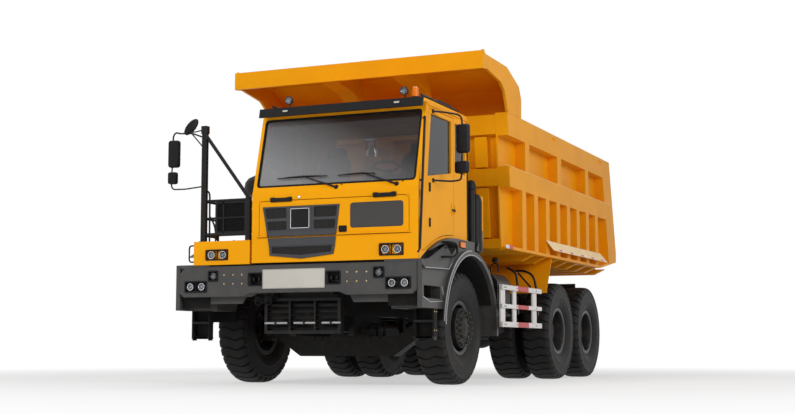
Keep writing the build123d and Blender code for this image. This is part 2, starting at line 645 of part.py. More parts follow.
driver_x = cab_left_x - 580
seat_rows = [(driver_x, 260), (cab_right_x + 500, 240)]  # centre X and half width of each seat
with BuildPart() as seats:
    for seat_x, half_width in seat_rows:
        block((seat_x - 170, seat_x + 170), (-3450, -3090), (cab_floor_z + 60, 2330))
        block((seat_x - half_width, seat_x + half_width), (-3520, -3000), (2330, 2460))
        side_prism([(-3080, 2460), (-2960, 2460), (-2880, header_z - 320), (-2990, header_z - 300)],
                   seat_x - half_width, seat_x + half_width)
finish(seats, "seats")

dash_x = (cab_right_x + cab_wall + 10, cab_left_x - cab_wall - 10)
with BuildPart() as dashboard:
    side_prism([(cab_wall_y, 2250), (cab_wall_y, 2520), (-4150, 2560), (-3990, 2480), (-3960, 2350),
                (-4100, 2250)], *dash_x)
    # Legs of the console down to the floor
    for leg_x in (cab_right_x + 120, 500, cab_left_x - 140):
        block((leg_x - 20, leg_x + 20), (cab_wall_y, -4120), (cab_floor_z + 60, 2250))
    # Steering column, square to the steering wheel
    rod((driver_x, -4120, 2330), (driver_x, -3917, 2682), 35)
finish(dashboard, "dashboard")

column_axis = (0, 0.5, 0.866)
with BuildPart() as steering_wheel:
    with Locations(Plane(origin=(driver_x, -3905, 2703), z_dir=column_axis).location):
        Torus(225, 17)
        Cylinder(50, 36)
        for spoke_angle in (0, 120, 240):
            with Locations(Location((0, 0, 0), (0, 0, spoke_angle))):
                with Locations((118, 0, 0)):
                    Box(190, 34, 16)
finish(steering_wheel, "steering_wheel")

tube_radius = 16
roof_rail_z = cab_top_z + 110
with BuildPart() as handrails:
    foot, head = (cab_left_x + 15, -4354, 1690), (cab_left_x + 75, -4334, header_z - 140)
    rod(foot, head, tube_radius)
    for share, anchor in ((0.0, (cab_left_x - 10, -4367, 1640)), (0.52, (cab_left_x - 20, -4322, 2520)),
                          (1.0, (cab_left_x - 20, -4157, header_z - 120))):
        rod(on_line(foot, head, share), anchor, tube_radius * 0.8)
    # The tube's lugs stop at the cab's skin
    block((cab_right_x, cab_left_x), (cab_front_y, cab_rear_y), (cab_base_z, 2447), Mode.SUBTRACT)
    side_prism([(cab_front_y, 2447), (pillar_foot_y, waist_z), (roof_front_y, cab_top_z),
                (cab_rear_y, cab_top_z),
                (cab_rear_y, 2447)], cab_right_x, cab_left_x, Mode.SUBTRACT)
    # Low rails along the roof
    for rail_x in (cab_right_x + 100, cab_left_x - 100):
        rod((rail_x, -4020, roof_rail_z), (rail_x, -2760, roof_rail_z), tube_radius)
        for post_y in (-3950, -2850):
            rod((rail_x, post_y, cab_top_z + roof_thickness), (rail_x, post_y, roof_rail_z),
                tube_radius * 0.8)
finish(handrails, "handrails")


# ---------------------------------------------------------------- doors
def door_with_pane(leaf, wall_x, hinge_x):
    """A door as thick as the wall, with its hinge barrels and its window cut, and that window's glass."""
    window = list(window_rows.values())
    with BuildPart() as door:
        add(leaf)
        for barrel_x, barrel_z in door_hinges:
            if barrel_x == hinge_x:
                rod((hinge_x, door_hinge_y, barrel_z[0]), (hinge_x, door_hinge_y, barrel_z[1]),
                    door_hinge_radius)
        side_prism(window, *wall_x, mode=Mode.SUBTRACT)
    centre_x = sum(wall_x) / 2
    with BuildPart() as pane:
        side_prism(window, centre_x - glass / 2, centre_x + glass / 2)
    return door, pane


left_wall_x = (cab_left_x - cab_wall, cab_left_x)
right_wall_x = (cab_right_x, cab_right_x + cab_wall)
left_leaf = above_arch(sill_height + door_gap, *left_wall_x, door_outline(0, cab_base_z),
                       door_corner_radius)
with BuildPart() as right_leaf:
    side_prism(door_outline(0, right_door_foot_z), *right_wall_x)
door_left, door_left_glass = door_with_pane(left_leaf, left_wall_x, hinge_left_x)
door_right, door_right_glass = door_with_pane(right_leaf.part, right_wall_x, hinge_right_x)
finish(door_left, "door_left")
finish(door_left_glass, "door_left_glass")
finish(door_right, "door_right")
finish(door_right_glass, "door_right_glass")

left_mirror_y = -3700
with BuildPart() as mirror_left:
    arm_x = mirror_reach - 100
    for arm_z in (header_z, header_z - 890):
        rod((cab_left_x, -3890, arm_z), (arm_x, left_mirror_y, arm_z), 14)
    rod((arm_x, left_mirror_y, header_z - 904), (arm_x, left_mirror_y, header_z + 14), 14)
    for low_z, high_z in ((header_z - 550, header_z - 150), (header_z - 800, header_z - 600)):
        block((mirror_reach - 210, mirror_reach), (left_mirror_y - 60, left_mirror_y - 10), (low_z, high_z))
        block((arm_x - 20, arm_x + 20), (left_mirror_y - 30, left_mirror_y + 10), (low_z + 60, high_z - 60))
finish(mirror_left, "mirror_left")

with BuildPart() as front_hatch:
    block(hatch_x, (cab_front_y, cab_front_y + 40), hatch_z)
    fillet(front_hatch.edges().filter_by(Axis.Y).group_by(Axis.Z)[-1], 70)
    for barrel_x in hatch_hinge_x:
        rod((barrel_x[0], *hatch_hinge), (barrel_x[1], *hatch_hinge), hinge_radius)
finish(front_hatch, "front_hatch")

# ---------------------------------------------------------------- lamps
work_lamp_y = roof_front_y + 39.25
work_lamp_z = cab_top_z + 165
with BuildPart() as lamps:
    for side in (-1, 1):
        for x_low, x_high, z_low, z_high in lamp_rows:
            block((side * (x_low + 2), side * (x_high - 2)), (front_y, front_y + lamp_depth),
                  (z_low + 2, z_high - 2))
    for lamp_x, lamp_z in (cab_lamp, platform_lamp):
        block((lamp_x[0] + 2, lamp_x[1] - 2), (cab_front_y - 5, cab_front_y + 50),
              (lamp_z[0] + 2, lamp_z[1] - 2))
    # Two work lamps and a beacon on the roof
    for lamp_x in (cab_right_x + 370, cab_left_x - 310):
        rod((lamp_x, work_lamp_y, cab_top_z + roof_thickness), (lamp_x, work_lamp_y, work_lamp_z - 45), 12)
        rod((lamp_x, work_lamp_y - 45, work_lamp_z), (lamp_x, work_lamp_y + 35, work_lamp_z), 55)
    rod((cab_left_x - 200, -3980, cab_top_z + roof_thickness), (cab_left_x - 200, -3980, cab_top_z + 230),
        50)
finish(lamps, "lamps")

# ---------------------------------------------------------------- tanks and side guards
with BuildPart() as side_tanks:
    box_y = (-1715, -1155)
    for side in (-1, 1):
        front_prism([(side * (rail_outer_x + 90), 930), (side * 1780, 930), (side * 1780, 1410),
                     (side * 1690, 1515),
                     (side * (rail_outer_x + 90), 1515)], *box_y)
        block((side * rail_outer_x, side * (rail_outer_x + 90)), (-1600, -1300), (1000, 1100))
    # Fuel tank on the right, two air vessels on the left, between the arms
    block((-(rail_outer_x + 90), -1780), (guard_arm_y[0] + 60, guard_arm_y[1] - 10), (620, 1240))
    block((-rail_outer_x, -(rail_outer_x + 90)), (-900, -500), (1000, 1100))
    for vessel_z in (830, 1170):
        rod((1250, guard_arm_y[0] + 70, vessel_z), (1250, guard_arm_y[1] - 20, vessel_z), 150)
    block((rail_outer_x, 1200), (-700, -640), (960, 1040))
    block((1200, 1300), (-700, -640), (960, 1040))
finish(side_tanks, "side_tanks")

guard_bars = [(770, 845), (1030, 1090), (1285, 1355)]   # low and high Z of each bar
guard_posts = [(-1885, -1700), (-1350, -1170), (-460, -270)]  # front and rear Y of each post
with BuildPart() as side_guards:
    for side in (-1, 1):
        for low_z, high_z in guard_bars:
            block((side * 1885, side * 1915), (-1885, -90), (low_z, high_z))
        for post_front_y, post_rear_y in guard_posts:
            block((side * 1870, side * 1890), (post_front_y, post_rear_y), (770, 1355))
        for arm_y in guard_arm_y:
            block((side * 1870, side * 1890), (arm_y, arm_y + 50), (960, 1100))
finish(side_guards, "side_guards")

# ---------------------------------------------------------------- dump body
tail_y = half_length
beam_places = [-340, 260, 850, 1400, 1950, 2550, 3130, 3730]  # Y of the middle of each cross beam
beam_bottom_z = 1768
floor_bend_y = 3300         # where the floor starts to rise to the tail
floor_rise = 0.116
with BuildPart() as body_floor:
    floor_front_y = front_wall_foot_y + body_plate
    tail_rise = floor_rise * (tail_y - 40 - floor_bend_y)
    side_prism([(floor_front_y, floor_bottom_z), (floor_bend_y, floor_bottom_z),
                (tail_y - 40, floor_bottom_z + tail_rise),
                (tail_y - 40, floor_bottom_z + floor_plate + tail_rise),
                (floor_bend_y, floor_bottom_z + floor_plate),
                (floor_front_y, floor_bottom_z + floor_plate)],
               -side_plate_x + body_plate, side_plate_x - body_plate)
    for beam_y in beam_places:
        rise = max(0, (beam_y - floor_bend_y) * floor_rise)
        block((-1700, 1700), (beam_y - 60, beam_y + 60), (beam_bottom_z, floor_bottom_z + 6 + rise))
        front_prism([(-1885, floor_bottom_z - 1), (-1690, beam_bottom_z), (1690, beam_bottom_z),
                     (1885, floor_bottom_z - 1)], beam_y - 60, beam_y + 60)
    for side in (-1, 1):
        beam_x = (side * (rail_outer_x - rail_width), side * rail_outer_x)
        side_prism([(front_wall_foot_y, rail_top_z + moving_gap),
                    (tip_pivot_y - 120, rail_top_z + moving_gap),
                    (tip_pivot_y - 40, 1420),
                    (3700, beam_bottom_z), (3700, floor_bottom_z),
                    (front_wall_foot_y, floor_bottom_z)], min(beam_x), max(beam_x))
        # Hinge lug outside the rail, with its pin in the rail's bearing
        lug_x = (side * (rail_outer_x + moving_gap), side * (rail_outer_x + 70))
        side_prism([(tip_pivot_y - 100, tip_pivot_z - 90), (tip_pivot_y + 100, tip_pivot_z - 90),
                    (tip_pivot_y + 160, 1790), (tip_pivot_y - 260, 1790)], min(lug_x), max(lug_x))
        rod((side * (rail_outer_x - rail_width + 5), tip_pivot_y, tip_pivot_z),
            (side * (rail_outer_x + 60), tip_pivot_y, tip_pivot_z), tip_pin_radius)
finish(body_floor, "body_floor")

front_lean = (front_wall_top_y - front_wall_foot_y) / (top_rail_z[0] - floor_bottom_z)


def front_wall_y(z):
    """Outer face of the front wall at a height."""
    return front_wall_foot_y + front_lean * (z - floor_bottom_z)


with BuildPart() as body_front_wall:
    top_z = top_rail_z[1]
    side_prism([(front_wall_y(floor_bottom_z), floor_bottom_z), (front_wall_y(top_z), top_z),
                (front_wall_y(top_z) + body_plate, top_z),
                (front_wall_y(floor_bottom_z) + body_plate, floor_bottom_z)],
               -side_plate_x + body_plate, side_plate_x - body_plate)
    for low_z, high_z in (top_rail_z, waist_rail_z, (floor_bottom_z, floor_bottom_z + 180)):
        side_prism([(front_wall_y(low_z), low_z), (front_wall_y(low_z) - 100, low_z + 25),
                    (front_wall_y(high_z) - 100, high_z - 25), (front_wall_y(high_z), high_z)],
                   -side_plate_x + body_plate, side_plate_x - body_plate)
    for post_x in (-1500, -800, 0, 800, 1500):
        for low_z, high_z in ((floor_bottom_z + 180, waist_rail_z[0]), (waist_rail_z[1], top_rail_z[0])):
            side_prism([(front_wall_y(low_z), low_z), (front_wall_y(low_z) - 80, low_z),
                        (front_wall_y(high_z) - 80, high_z),
                        (front_wall_y(high_z), high_z)], post_x - 90, post_x + 90)
    # Ears for the hoist's eye
    for side in (-1, 1):
        block((side * 90, side * 130), (hoist_eye[1] - 90, front_wall_y(hoist_eye[2]) + 5),
              (hoist_eye[2] - 110, hoist_eye[2] + 110))
finish(body_front_wall, "body_front_wall")

column_inner = [(3550, top_rail_z[0]), (3645, waist_rail_z[1]), (3723, waist_rail_z[0]), (3876, 2050)]
tail_edge = [(4015, 3740), (half_length, 2180), (4384, 2020)]
upper_posts = [(-850, -650), (770, 990), (2400, 2590)]
lower_posts = [-920, -350, 235, 800, 1370, 1930, 2500, 3080]
lower_post_width = 180


def make_side(side):
    """One side of the dump body: the plate, its rails, its posts and its rear column."""
    outer = (side * side_plate_x, side * body_half_width)
    span = (min(outer), max(outer))
    plate = (side * (side_plate_x - body_plate), side * side_plate_x)
    plate_span = (min(plate), max(plate))
    with BuildPart() as wall:
        side_prism([(front_wall_y(floor_bottom_z), floor_bottom_z),
                    (front_wall_y(top_rail_z[1]), top_rail_z[1]),
                    (4000, top_rail_z[1]), tail_edge[0], tail_edge[1], tail_edge[2],
                    (3300, floor_bottom_z)], *plate_span)
        side_prism([(front_wall_y(top_rail_z[0]) - 100, top_rail_z[0]),
                    (front_wall_y(top_rail_z[1]) - 100, top_rail_z[1]),
                    (4000, top_rail_z[1]), tail_edge[0], (4079, top_rail_z[0])], *span)
        side_prism([(front_wall_y(waist_rail_z[0]) - 100, waist_rail_z[0]),
                    (front_wall_y(waist_rail_z[1]) - 100, waist_rail_z[1]),
                    column_inner[1], column_inner[2]], *span)
        side_prism(column_inner + [(3900, 1960), tail_edge[2], tail_edge[1], (4079, top_rail_z[0])], *span)
        side_prism([(front_wall_y(floor_bottom_z) - 100, floor_bottom_z),
                    (front_wall_y(floor_bottom_z) - 100, 1905),
                    (3300, 1905), (4380, 2060), tail_edge[2], (3300, floor_bottom_z)], *span)
        for front, rear in upper_posts:
            block(span, (front, rear), (waist_rail_z[1], top_rail_z[0]))
        for post_y in lower_posts:
            block(span, (post_y - lower_post_width / 2, post_y + lower_post_width / 2),
                  (1905, waist_rail_z[0]))
        # Front corner column, between the side and the front wall's bands
        side_prism([(front_wall_y(floor_bottom_z) - 100, floor_bottom_z),
                    (front_wall_y(top_rail_z[1]) - 100, top_rail_z[1]),
                    (front_wall_y(top_rail_z[1]) + 5, top_rail_z[1]),
                    (front_wall_y(floor_bottom_z) + 5, floor_bottom_z)],
                   *plate_span)
    return wall


body_side_left = make_side(1)
finish(body_side_left, "body_side_left")
body_side_right = make_side(-1)
finish(body_side_right, "body_side_right")

canopy_outer = [(-2600, 4505), (-2532, 4452), (-1645, 4445), (-1110, 4253), (-1010, 4085), (-1019, 3803)]
canopy_inner = [(-1600, 3803), (-1638, 3860), (-1754, 4086), (-1924, 4186), (-2467, 4259), (-2600, 4237)]
skin = 25
with BuildPart() as body_canopy:
    for side in (-1, 1):
        cheek = (side * (body_half_width - 40), side * body_half_width)
        side_prism(canopy_outer + canopy_inner, min(cheek), max(cheek))
    # Roof sheet, falling to the front wall behind
    side_prism([(-2600, 4480), (-1655, 4445), (-1130, 4250), (-1035, 4085), (-1044, 3803),
                (-1044 - skin, 3803),
                (-1035 - skin, 4075), (-1150, 4225), (-1660, 4420), (-2600, 4455)],
               -body_half_width + 40, body_half_width - 40)
    block((-body_half_width, body_half_width), (-2650, -2600), (4237, 4483))
    # Hat ribs under the sheet
    for rib_x in (-460, 625):
        side_prism([(-2600, 4250), (-2467, 4262), (-1924, 4190), (-1754, 4090), (-1638, 3860),
                    (-1600, 3803),
                    (-1560, 3803), (-1560, 4000), (-1660, 4422), (-2600, 4457)], rib_x - 125, rib_x + 125)
finish(body_canopy, "body_canopy")

with BuildPart() as mud_flaps:
    for side in (-1, 1):
        front_prism([(side * body_half_width, 2110), (side * (body_half_width + 95), 1955),
                     (side * (body_half_width + 85), 1950), (side * body_half_width, 2090)], 110, 3430)
finish(mud_flaps, "mud_flaps")

with BuildPart() as wheel_guards:
    # Stone guards that hang from the body ahead of the middle wheels
    for side in (-1, 1):
        guard_x = (min(side * 950, side * 1900), max(side * 950, side * 1900))
        side_prism([(520, floor_bottom_z), (235, 1375), (235, 1315), (223, 1315), (223, 1380),
                    (506, floor_bottom_z)],
                   *guard_x)
finish(wheel_guards, "wheel_guards")

# ---------------------------------------------------------------- hoist
stroke = Vector(*hoist_eye) - Vector(*hoist_foot)


def along_hoist(distance):
    """The point at a distance up the hoist from its foot pin."""
    return tuple(Vector(*hoist_foot) + stroke.normalized() * distance)


barrel_top = 2200
stage_top = 2290
with BuildPart() as hoist_barrel:
    rod(along_hoist(60), along_hoist(barrel_top), hoist_barrel_radius)
    rod(along_hoist(150), along_hoist(barrel_top), hoist_stage_radius + 1, Mode.SUBTRACT)
    rod((-137, hoist_foot[1], hoist_foot[2]), (137, hoist_foot[1], hoist_foot[2]), 80)
    rod((-137, hoist_foot[1], hoist_foot[2]), (137, hoist_foot[1], hoist_foot[2]), 45 + running_gap,
        Mode.SUBTRACT)
finish(hoist_barrel, "hoist_barrel")

with BuildPart() as hoist_stage:
    rod(along_hoist(160), along_hoist(stage_top), hoist_stage_radius)
    rod(along_hoist(190), along_hoist(stage_top), hoist_rod_radius + 1, Mode.SUBTRACT)
finish(hoist_stage, "hoist_stage")

with BuildPart() as hoist_rod:
    rod(along_hoist(200), along_hoist(stroke.length), hoist_rod_radius)
    rod((-80, hoist_eye[1], hoist_eye[2]), (80, hoist_eye[1], hoist_eye[2]), 75)
finish(hoist_rod, "hoist_rod")
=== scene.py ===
# %% [markdown]
# # The looks of a mining dump truck
# The construction model gives every piece at its real size, in metres, with +X to the truck's left,
# +Y to its rear and +Z up. This lesson paints those pieces and adds what the construction model leaves
# out: tyre treads, lamps, grilles, wipers, fixed pipes, mirrors, bolts and cushions.

import math

import bmesh
import bpy
import numpy as np
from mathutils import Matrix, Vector


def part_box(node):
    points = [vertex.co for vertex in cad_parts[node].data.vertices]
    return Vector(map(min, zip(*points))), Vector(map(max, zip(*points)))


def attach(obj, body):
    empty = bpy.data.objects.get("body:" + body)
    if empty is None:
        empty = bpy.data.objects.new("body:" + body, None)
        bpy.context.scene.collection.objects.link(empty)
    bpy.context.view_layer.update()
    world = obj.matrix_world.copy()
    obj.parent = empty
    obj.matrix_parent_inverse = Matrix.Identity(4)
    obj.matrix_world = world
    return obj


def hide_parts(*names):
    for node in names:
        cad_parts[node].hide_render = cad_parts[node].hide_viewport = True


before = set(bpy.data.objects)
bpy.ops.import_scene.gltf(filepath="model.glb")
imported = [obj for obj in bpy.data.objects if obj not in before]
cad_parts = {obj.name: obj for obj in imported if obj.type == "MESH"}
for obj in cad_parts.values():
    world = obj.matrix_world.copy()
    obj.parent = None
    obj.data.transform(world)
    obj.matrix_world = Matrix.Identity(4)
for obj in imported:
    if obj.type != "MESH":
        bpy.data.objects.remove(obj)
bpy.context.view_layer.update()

# %% [markdown]
# ## Where things are
# Small pieces sit on the faces of bigger ones, and those faces are read from boxes of the construction
# model, so the pieces follow when a size changes there. The remaining places are plain numbers in metres.

# %% Faces of the frame
def span(node):
    """The lowest and highest corners of a construction node, as two arrays."""
    low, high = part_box(node)
    return np.array(low), np.array(high)


BUMPER_Y = span("front_bumper")[0][1]
CAB_LOW, CAB_HIGH = span("cab_front")
CAB_Y = CAB_LOW[1]
CAB_LEFT = CAB_HIGH[0]
CAB_RIGHT = CAB_LOW[0]
CAB_REAR = span("cab_rear")[1][1]
BODY_LEFT = span("body_side_left")[1][0]
TYRE_RADIUS = span("front_left_tyre")[1][2] / 2
print("bumper face", round(BUMPER_Y, 3), "cab face", round(CAB_Y, 3), "tyre radius", round(TYRE_RADIUS, 3))

# %% [markdown]
# ## Camera
# The camera stands where someone would crouch: far off, low, to the truck's left, looking slightly up.
# A long lens keeps the perspective gentle. Blender's camera looks down its own -Z, so turning it by
# ninety degrees and the elevation about X, then by the azimuth about Z, points it at the truck.

# %% Camera
AZIMUTH, ELEVATION = math.radians(23.616), math.radians(6.075)
CAMERA_PLACE = (7.851, -19.069, 0.496)
SENSOR_WIDTH, LENS = 36, 59.54        # in millimetres
FARTHEST = 300                        # in metres
camera = bpy.data.objects.new("camera", bpy.data.cameras.new("camera"))
bpy.context.collection.objects.link(camera)
camera.location = CAMERA_PLACE
camera.rotation_euler = (math.pi / 2 + ELEVATION, 0, AZIMUTH)
camera.data.sensor_width = SENSOR_WIDTH
camera.data.lens = LENS
camera.data.clip_end = FARTHEST
bpy.context.scene.camera = camera
print("lens", camera.data.lens, "mm")

# %% [markdown]
# ## Shapes as arrays
# A shape here is three arrays: its points, the corner list of all its faces one after another, and the
# number of corners of each face. Working on whole arrays is quick, and shapes join by stacking them.
# The basic surface is a grid: a point for each pair of two parameters, with a quad in each cell.

# %% Grid, join and copies
def grid(points, around=False):
    """A surface from points[i, j]: the cell (i, j) is a quad. With around, the last j joins the first."""
    rows, columns = points.shape[:2]
    index = np.arange(rows * columns).reshape(rows, columns)
    if around:
        index = np.hstack([index, index[:, :1]])
    quads = np.stack([index[:-1, :-1], index[:-1, 1:], index[1:, 1:], index[1:, :-1]], axis=-1)
    return points.reshape(-1, 3), quads.ravel(), np.full(quads.size // 4, 4)


def join(*shapes):
    """Several shapes as one: points stacked, corner numbers moved up by the points before them."""
    starts = np.cumsum([0] + [len(shape[0]) for shape in shapes[:-1]])
    corners = np.concatenate([shape[1] + start for shape, start in zip(shapes, starts)])
    return np.vstack([shape[0] for shape in shapes]), corners, np.concatenate([shape[2] for shape in shapes])


def copies(shape, offsets):
    """The shape once at each offset, worked out as one array: every point plus every offset."""
    points, corners, sizes = shape
    offsets = np.asarray(offsets, float).reshape(-1, 3)
    moved = (offsets[:, None, :] + points[None]).reshape(-1, 3)
    starts = np.arange(len(offsets)) * len(points)
    return moved, (starts[:, None] + corners[None]).ravel(), np.tile(sizes, len(offsets))


def mirrored(shape):
    """The shape and its reflection in the truck's centre plane."""
    return join(shape, (shape[0] * (-1, 1, 1), shape[1], shape[2]))


def turned_about(shape, centre, angles):
    """The shape turned about the line along X through centre, once by each angle."""
    arm = shape[0] - centre
    cos, sin = np.cos(angles)[:, None], np.sin(angles)[:, None]
    y, z = arm[:, 1] * cos - arm[:, 2] * sin, arm[:, 1] * sin + arm[:, 2] * cos
    x = np.broadcast_to(arm[:, 0], y.shape)
    points = np.stack([x, y, z], axis=-1).reshape(-1, 3) + centre
    starts = np.arange(len(angles)) * len(arm)
    return points, (starts[:, None] + shape[1][None]).ravel(), np.tile(shape[2], len(angles))


print("a grid of 3 by 4 points has", len(grid(np.zeros((3, 4, 3)))[2]), "quads")

# %% [markdown]
# ## Prisms, turned shapes and tubes
# Most pieces of a truck are one of three things. A plate is an outline with a thickness and a slightly
# broken edge, a cap or lens is an outline turned about an axis, and a pipe is a circle carried along a
# path. Each is a stack of rings in a grid, with its two ends closed.

# %% Outlines and plates
def across(direction):
    """Two unit vectors square to a direction and to each other, the first as level as it can be."""
    direction = np.asarray(direction, float) / np.linalg.norm(direction)
    helper = np.array([0, 0, 1.0]) if abs(direction[2]) < 0.9 else np.array([0, 1.0, 0])
    first = np.cross(helper, direction)
    first /= np.linalg.norm(first)
    return first, np.cross(direction, first)


def stack(rings):
    """Rings of points, one above another, as a closed shape: a grid between them and a face on each end."""
    rings = np.asarray(rings, float)
    count = rings.shape[1]
    points, corners, sizes = grid(rings, around=True)
    last = len(points) - count
    ends = np.concatenate([np.arange(count), last + np.arange(count)[::-1]])
    return points, np.concatenate([corners, ends]), np.concatenate([sizes, [count, count]])


def rounded(width, height, radius, steps=4, centre=(0, 0)):
    """The outline of a rectangle whose corners are quarter circles, as (across, up) points."""
    angles = np.linspace(0, math.pi / 2, steps + 1)
    turns = (np.arange(4) * math.pi / 2)[:, None] + angles[None]
    signs = np.array([(1, 1), (-1, 1), (-1, -1), (1, -1)])[:, None, :]
    inner = signs * (width / 2 - radius, height / 2 - radius)
    return (inner + radius * np.stack([np.cos(turns), np.sin(turns)], axis=-1)).reshape(-1, 2) + centre


def inset(outline, amount):
    """The outline moved inwards: each corner goes along the middle of its two edges' inward normals."""
    outline = np.asarray(outline, float)
    before, after = outline - np.roll(outline, 1, 0), np.roll(outline, -1, 0) - outline
    before /= np.linalg.norm(before, axis=1)[:, None]
    after /= np.linalg.norm(after, axis=1)[:, None]
    middle = np.stack([-before[:, 1] - after[:, 1], before[:, 0] + after[:, 0]], axis=1)
    twist = np.sum(outline[:, 0] * np.roll(outline[:, 1], -1) - outline[:, 1] * np.roll(outline[:, 0], -1))
    share = 2 / np.maximum(np.sum(middle ** 2, axis=1), 0.5)
    return outline + np.sign(twist) * amount * middle * share[:, None]


def plate(outline, thickness, origin, along, up, edge=0.0015):
    """A prism on a plane: its outline is measured along two directions and its thickness along the third."""
    outline, along, up = np.asarray(outline, float), np.asarray(along, float), np.asarray(up, float)
    along, up = along / np.linalg.norm(along), up / np.linalg.norm(up)
    out = np.cross(along, up)
    small = inset(outline, edge)
    levels = [(small, 0), (outline, edge), (outline, thickness - edge), (small, thickness)]
    return stack([np.asarray(origin) + flat[:, :1] * along + flat[:, 1:] * up + depth * out
                  for flat, depth in levels])


def rectangle(low, high):
    """The four corners of a rectangle between two (across, up) points, as an outline for a plate."""
    return [(low[0], low[1]), (high[0], low[1]), (high[0], high[1]), (low[0], high[1])]


def front_plate(outline, y_back, thickness, edge=0.0015):
    """A plate with its face to the front: the outline is (X, Z), and it stands forward from y_back."""
    return plate(outline, thickness, (0, y_back, 0), (1, 0, 0), (0, 0, 1), edge)


def left_plate(outline, x_back, thickness, edge=0.0015):
    """A plate with its face to the truck's left: the outline is (Y, Z)."""
    return plate(outline, thickness, (x_back, 0, 0), (0, 1, 0), (0, 0, 1), edge)


def bar(low, high, edge=0.003):
    """A rectangular bar between two corners, with broken edges."""
    (x0, y0, z0), (x1, y1, z1) = np.minimum(low, high), np.maximum(low, high)
    return plate(rectangle((x0, y0), (x1, y1)), z1 - z0, (0, 0, z0), (1, 0, 0), (0, 1, 0), edge)


# %% [markdown]
# A cap is its half section turned about an axis, and a pipe is the same circle set square to a path at
# each of its points. Corners of the path are rounded first, because real pipe is bent and not mitred.

# %% Turned shapes and tubes
def turned(profile, centre, axis=(0, -1, 0), sides=24):
    """A profile of (distance along the axis, radius) points, turned about the axis through centre."""
    axis = np.asarray(axis, float) / np.linalg.norm(axis)
    first, second = across(axis)
    angles = np.arange(sides) * 2 * math.pi / sides
    circle = np.cos(angles)[:, None] * first + np.sin(angles)[:, None] * second
    along, radius = np.asarray(profile, float).T
    return grid(np.asarray(centre) + along[:, None, None] * axis + radius[:, None, None] * circle,
                around=True)


def bent(points, radius, steps=5):
    """A path with rounded corners: each becomes a parabola between points a radius before and after it."""
    points = np.asarray(points, float)
    before, corner, after = points[:-2], points[1:-1], points[2:]
    run_in, run_out = before - corner, after - corner
    reach_in = np.minimum(radius, np.linalg.norm(run_in, axis=1) * 0.48)[:, None]
    reach_out = np.minimum(radius, np.linalg.norm(run_out, axis=1) * 0.48)[:, None]
    start = corner + run_in / np.linalg.norm(run_in, axis=1)[:, None] * reach_in
    end = corner + run_out / np.linalg.norm(run_out, axis=1)[:, None] * reach_out
    t = np.linspace(0, 1, steps + 1)[None, :, None]
    curves = (1 - t) ** 2 * start[:, None] + 2 * t * (1 - t) * corner[:, None] + t ** 2 * end[:, None]
    return np.vstack([points[:1], curves.reshape(-1, 3), points[-1:]])


def tube(path, radius, sides=12):
    """A circle carried along a path. Its plane halves the angle at each point, and one fixed direction
    keeps it from twisting."""
    path = np.asarray(path, float)
    runs = np.diff(path, axis=0)
    runs /= np.linalg.norm(runs, axis=1)[:, None]
    tangent = np.vstack([runs[:1], runs[:-1] + runs[1:], runs[-1:]])
    tangent /= np.linalg.norm(tangent, axis=1)[:, None]
    helper = np.eye(3)[np.argmin(np.abs(tangent).max(axis=0))]
    first = np.cross(tangent, helper)
    first /= np.linalg.norm(first, axis=1)[:, None]
    second = np.cross(tangent, first)
    angles = np.arange(sides) * 2 * math.pi / sides
    radius = np.broadcast_to(radius, len(path))[:, None, None]
    circle = np.cos(angles)[:, None] * first[:, None] + np.sin(angles)[:, None] * second[:, None]
    return stack(path[:, None] + radius * circle)


def pipe(points, radius, bend=0.05, sides=12):
    """A tube along straight runs with rounded corners."""
    return tube(bent(points, bend), radius, sides)


def bolt(centre, size=0.012, axis=(0, -1, 0)):
    """A hexagon bolt head on a washer: a six-sided turned shape on a round one."""
    washer = turned([(0, 0), (0, size * 1.25), (size * 0.25, size * 1.25), (size * 0.25, 0)],
                    centre, axis, 12)
    hexagon = [(0.2 * size, 0), (0.2 * size, size), (0.85 * size, size), (size, size * 0.85), (size, 0)]
    return join(washer, turned(hexagon, centre, axis, 6))


print("a bolt head has", len(bolt((0, 0, 0))[2]), "faces")

# %% [markdown]
# ## From shapes to pieces
# A piece is one Blender mesh, made of shapes that each carry a material. Points that coincide are merged,
# which also turns the collapsed quads at a pole into triangles, and the normals are then worked out
# again so that all faces point outwards. Edges sharper than 35 degrees stay crisp, the rest is smooth.

# %% Make a piece
CREASE = math.radians(35)


def piece(name, body, slot, *parts, replaces=(), weld=1e-5):
    """A mesh object from (shape, material) pairs, riding on a body of the frame."""
    shape = join(*[part[0] for part in parts])
    used = list(dict.fromkeys(part[1].name for part in parts))
    marks = np.concatenate([np.full(len(part[0][2]), used.index(part[1].name)) for part in parts])
    points, corners, sizes = shape
    mesh = bpy.data.meshes.new(name)
    mesh.vertices.add(len(points))
    mesh.vertices.foreach_set("co", points.astype(np.float32).ravel())
    mesh.loops.add(len(corners))
    mesh.loops.foreach_set("vertex_index", corners.astype(np.int32))
    mesh.polygons.add(len(sizes))
    mesh.polygons.foreach_set("loop_start", (np.cumsum(sizes) - sizes).astype(np.int32))
    mesh.polygons.foreach_set("material_index", marks.astype(np.int32))
    for used_name in used:
        mesh.materials.append(bpy.data.materials[used_name])
    mesh.update(calc_edges=True)
    work = bmesh.new()
    work.from_mesh(mesh)
    bmesh.ops.remove_doubles(work, verts=work.verts, dist=weld)
    bmesh.ops.recalc_face_normals(work, faces=work.faces)
    work.to_mesh(mesh)
    work.free()
    mesh.shade_smooth()
    mesh.set_sharp_from_angle(angle=CREASE)
    item = bpy.data.objects.new(name, mesh)
    bpy.context.collection.objects.link(item)
    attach(item, body)
    if replaces:
        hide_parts(*replaces)
    print(name, "faces:", len(mesh.polygons))
    return item


# %% [markdown]
# ## Materials
# A shader is a tree of nodes. The same few steps come again and again: make a node, link it, take noise,
# map a value, mix two colours. Each gets a short function, so that a finish reads like a recipe.

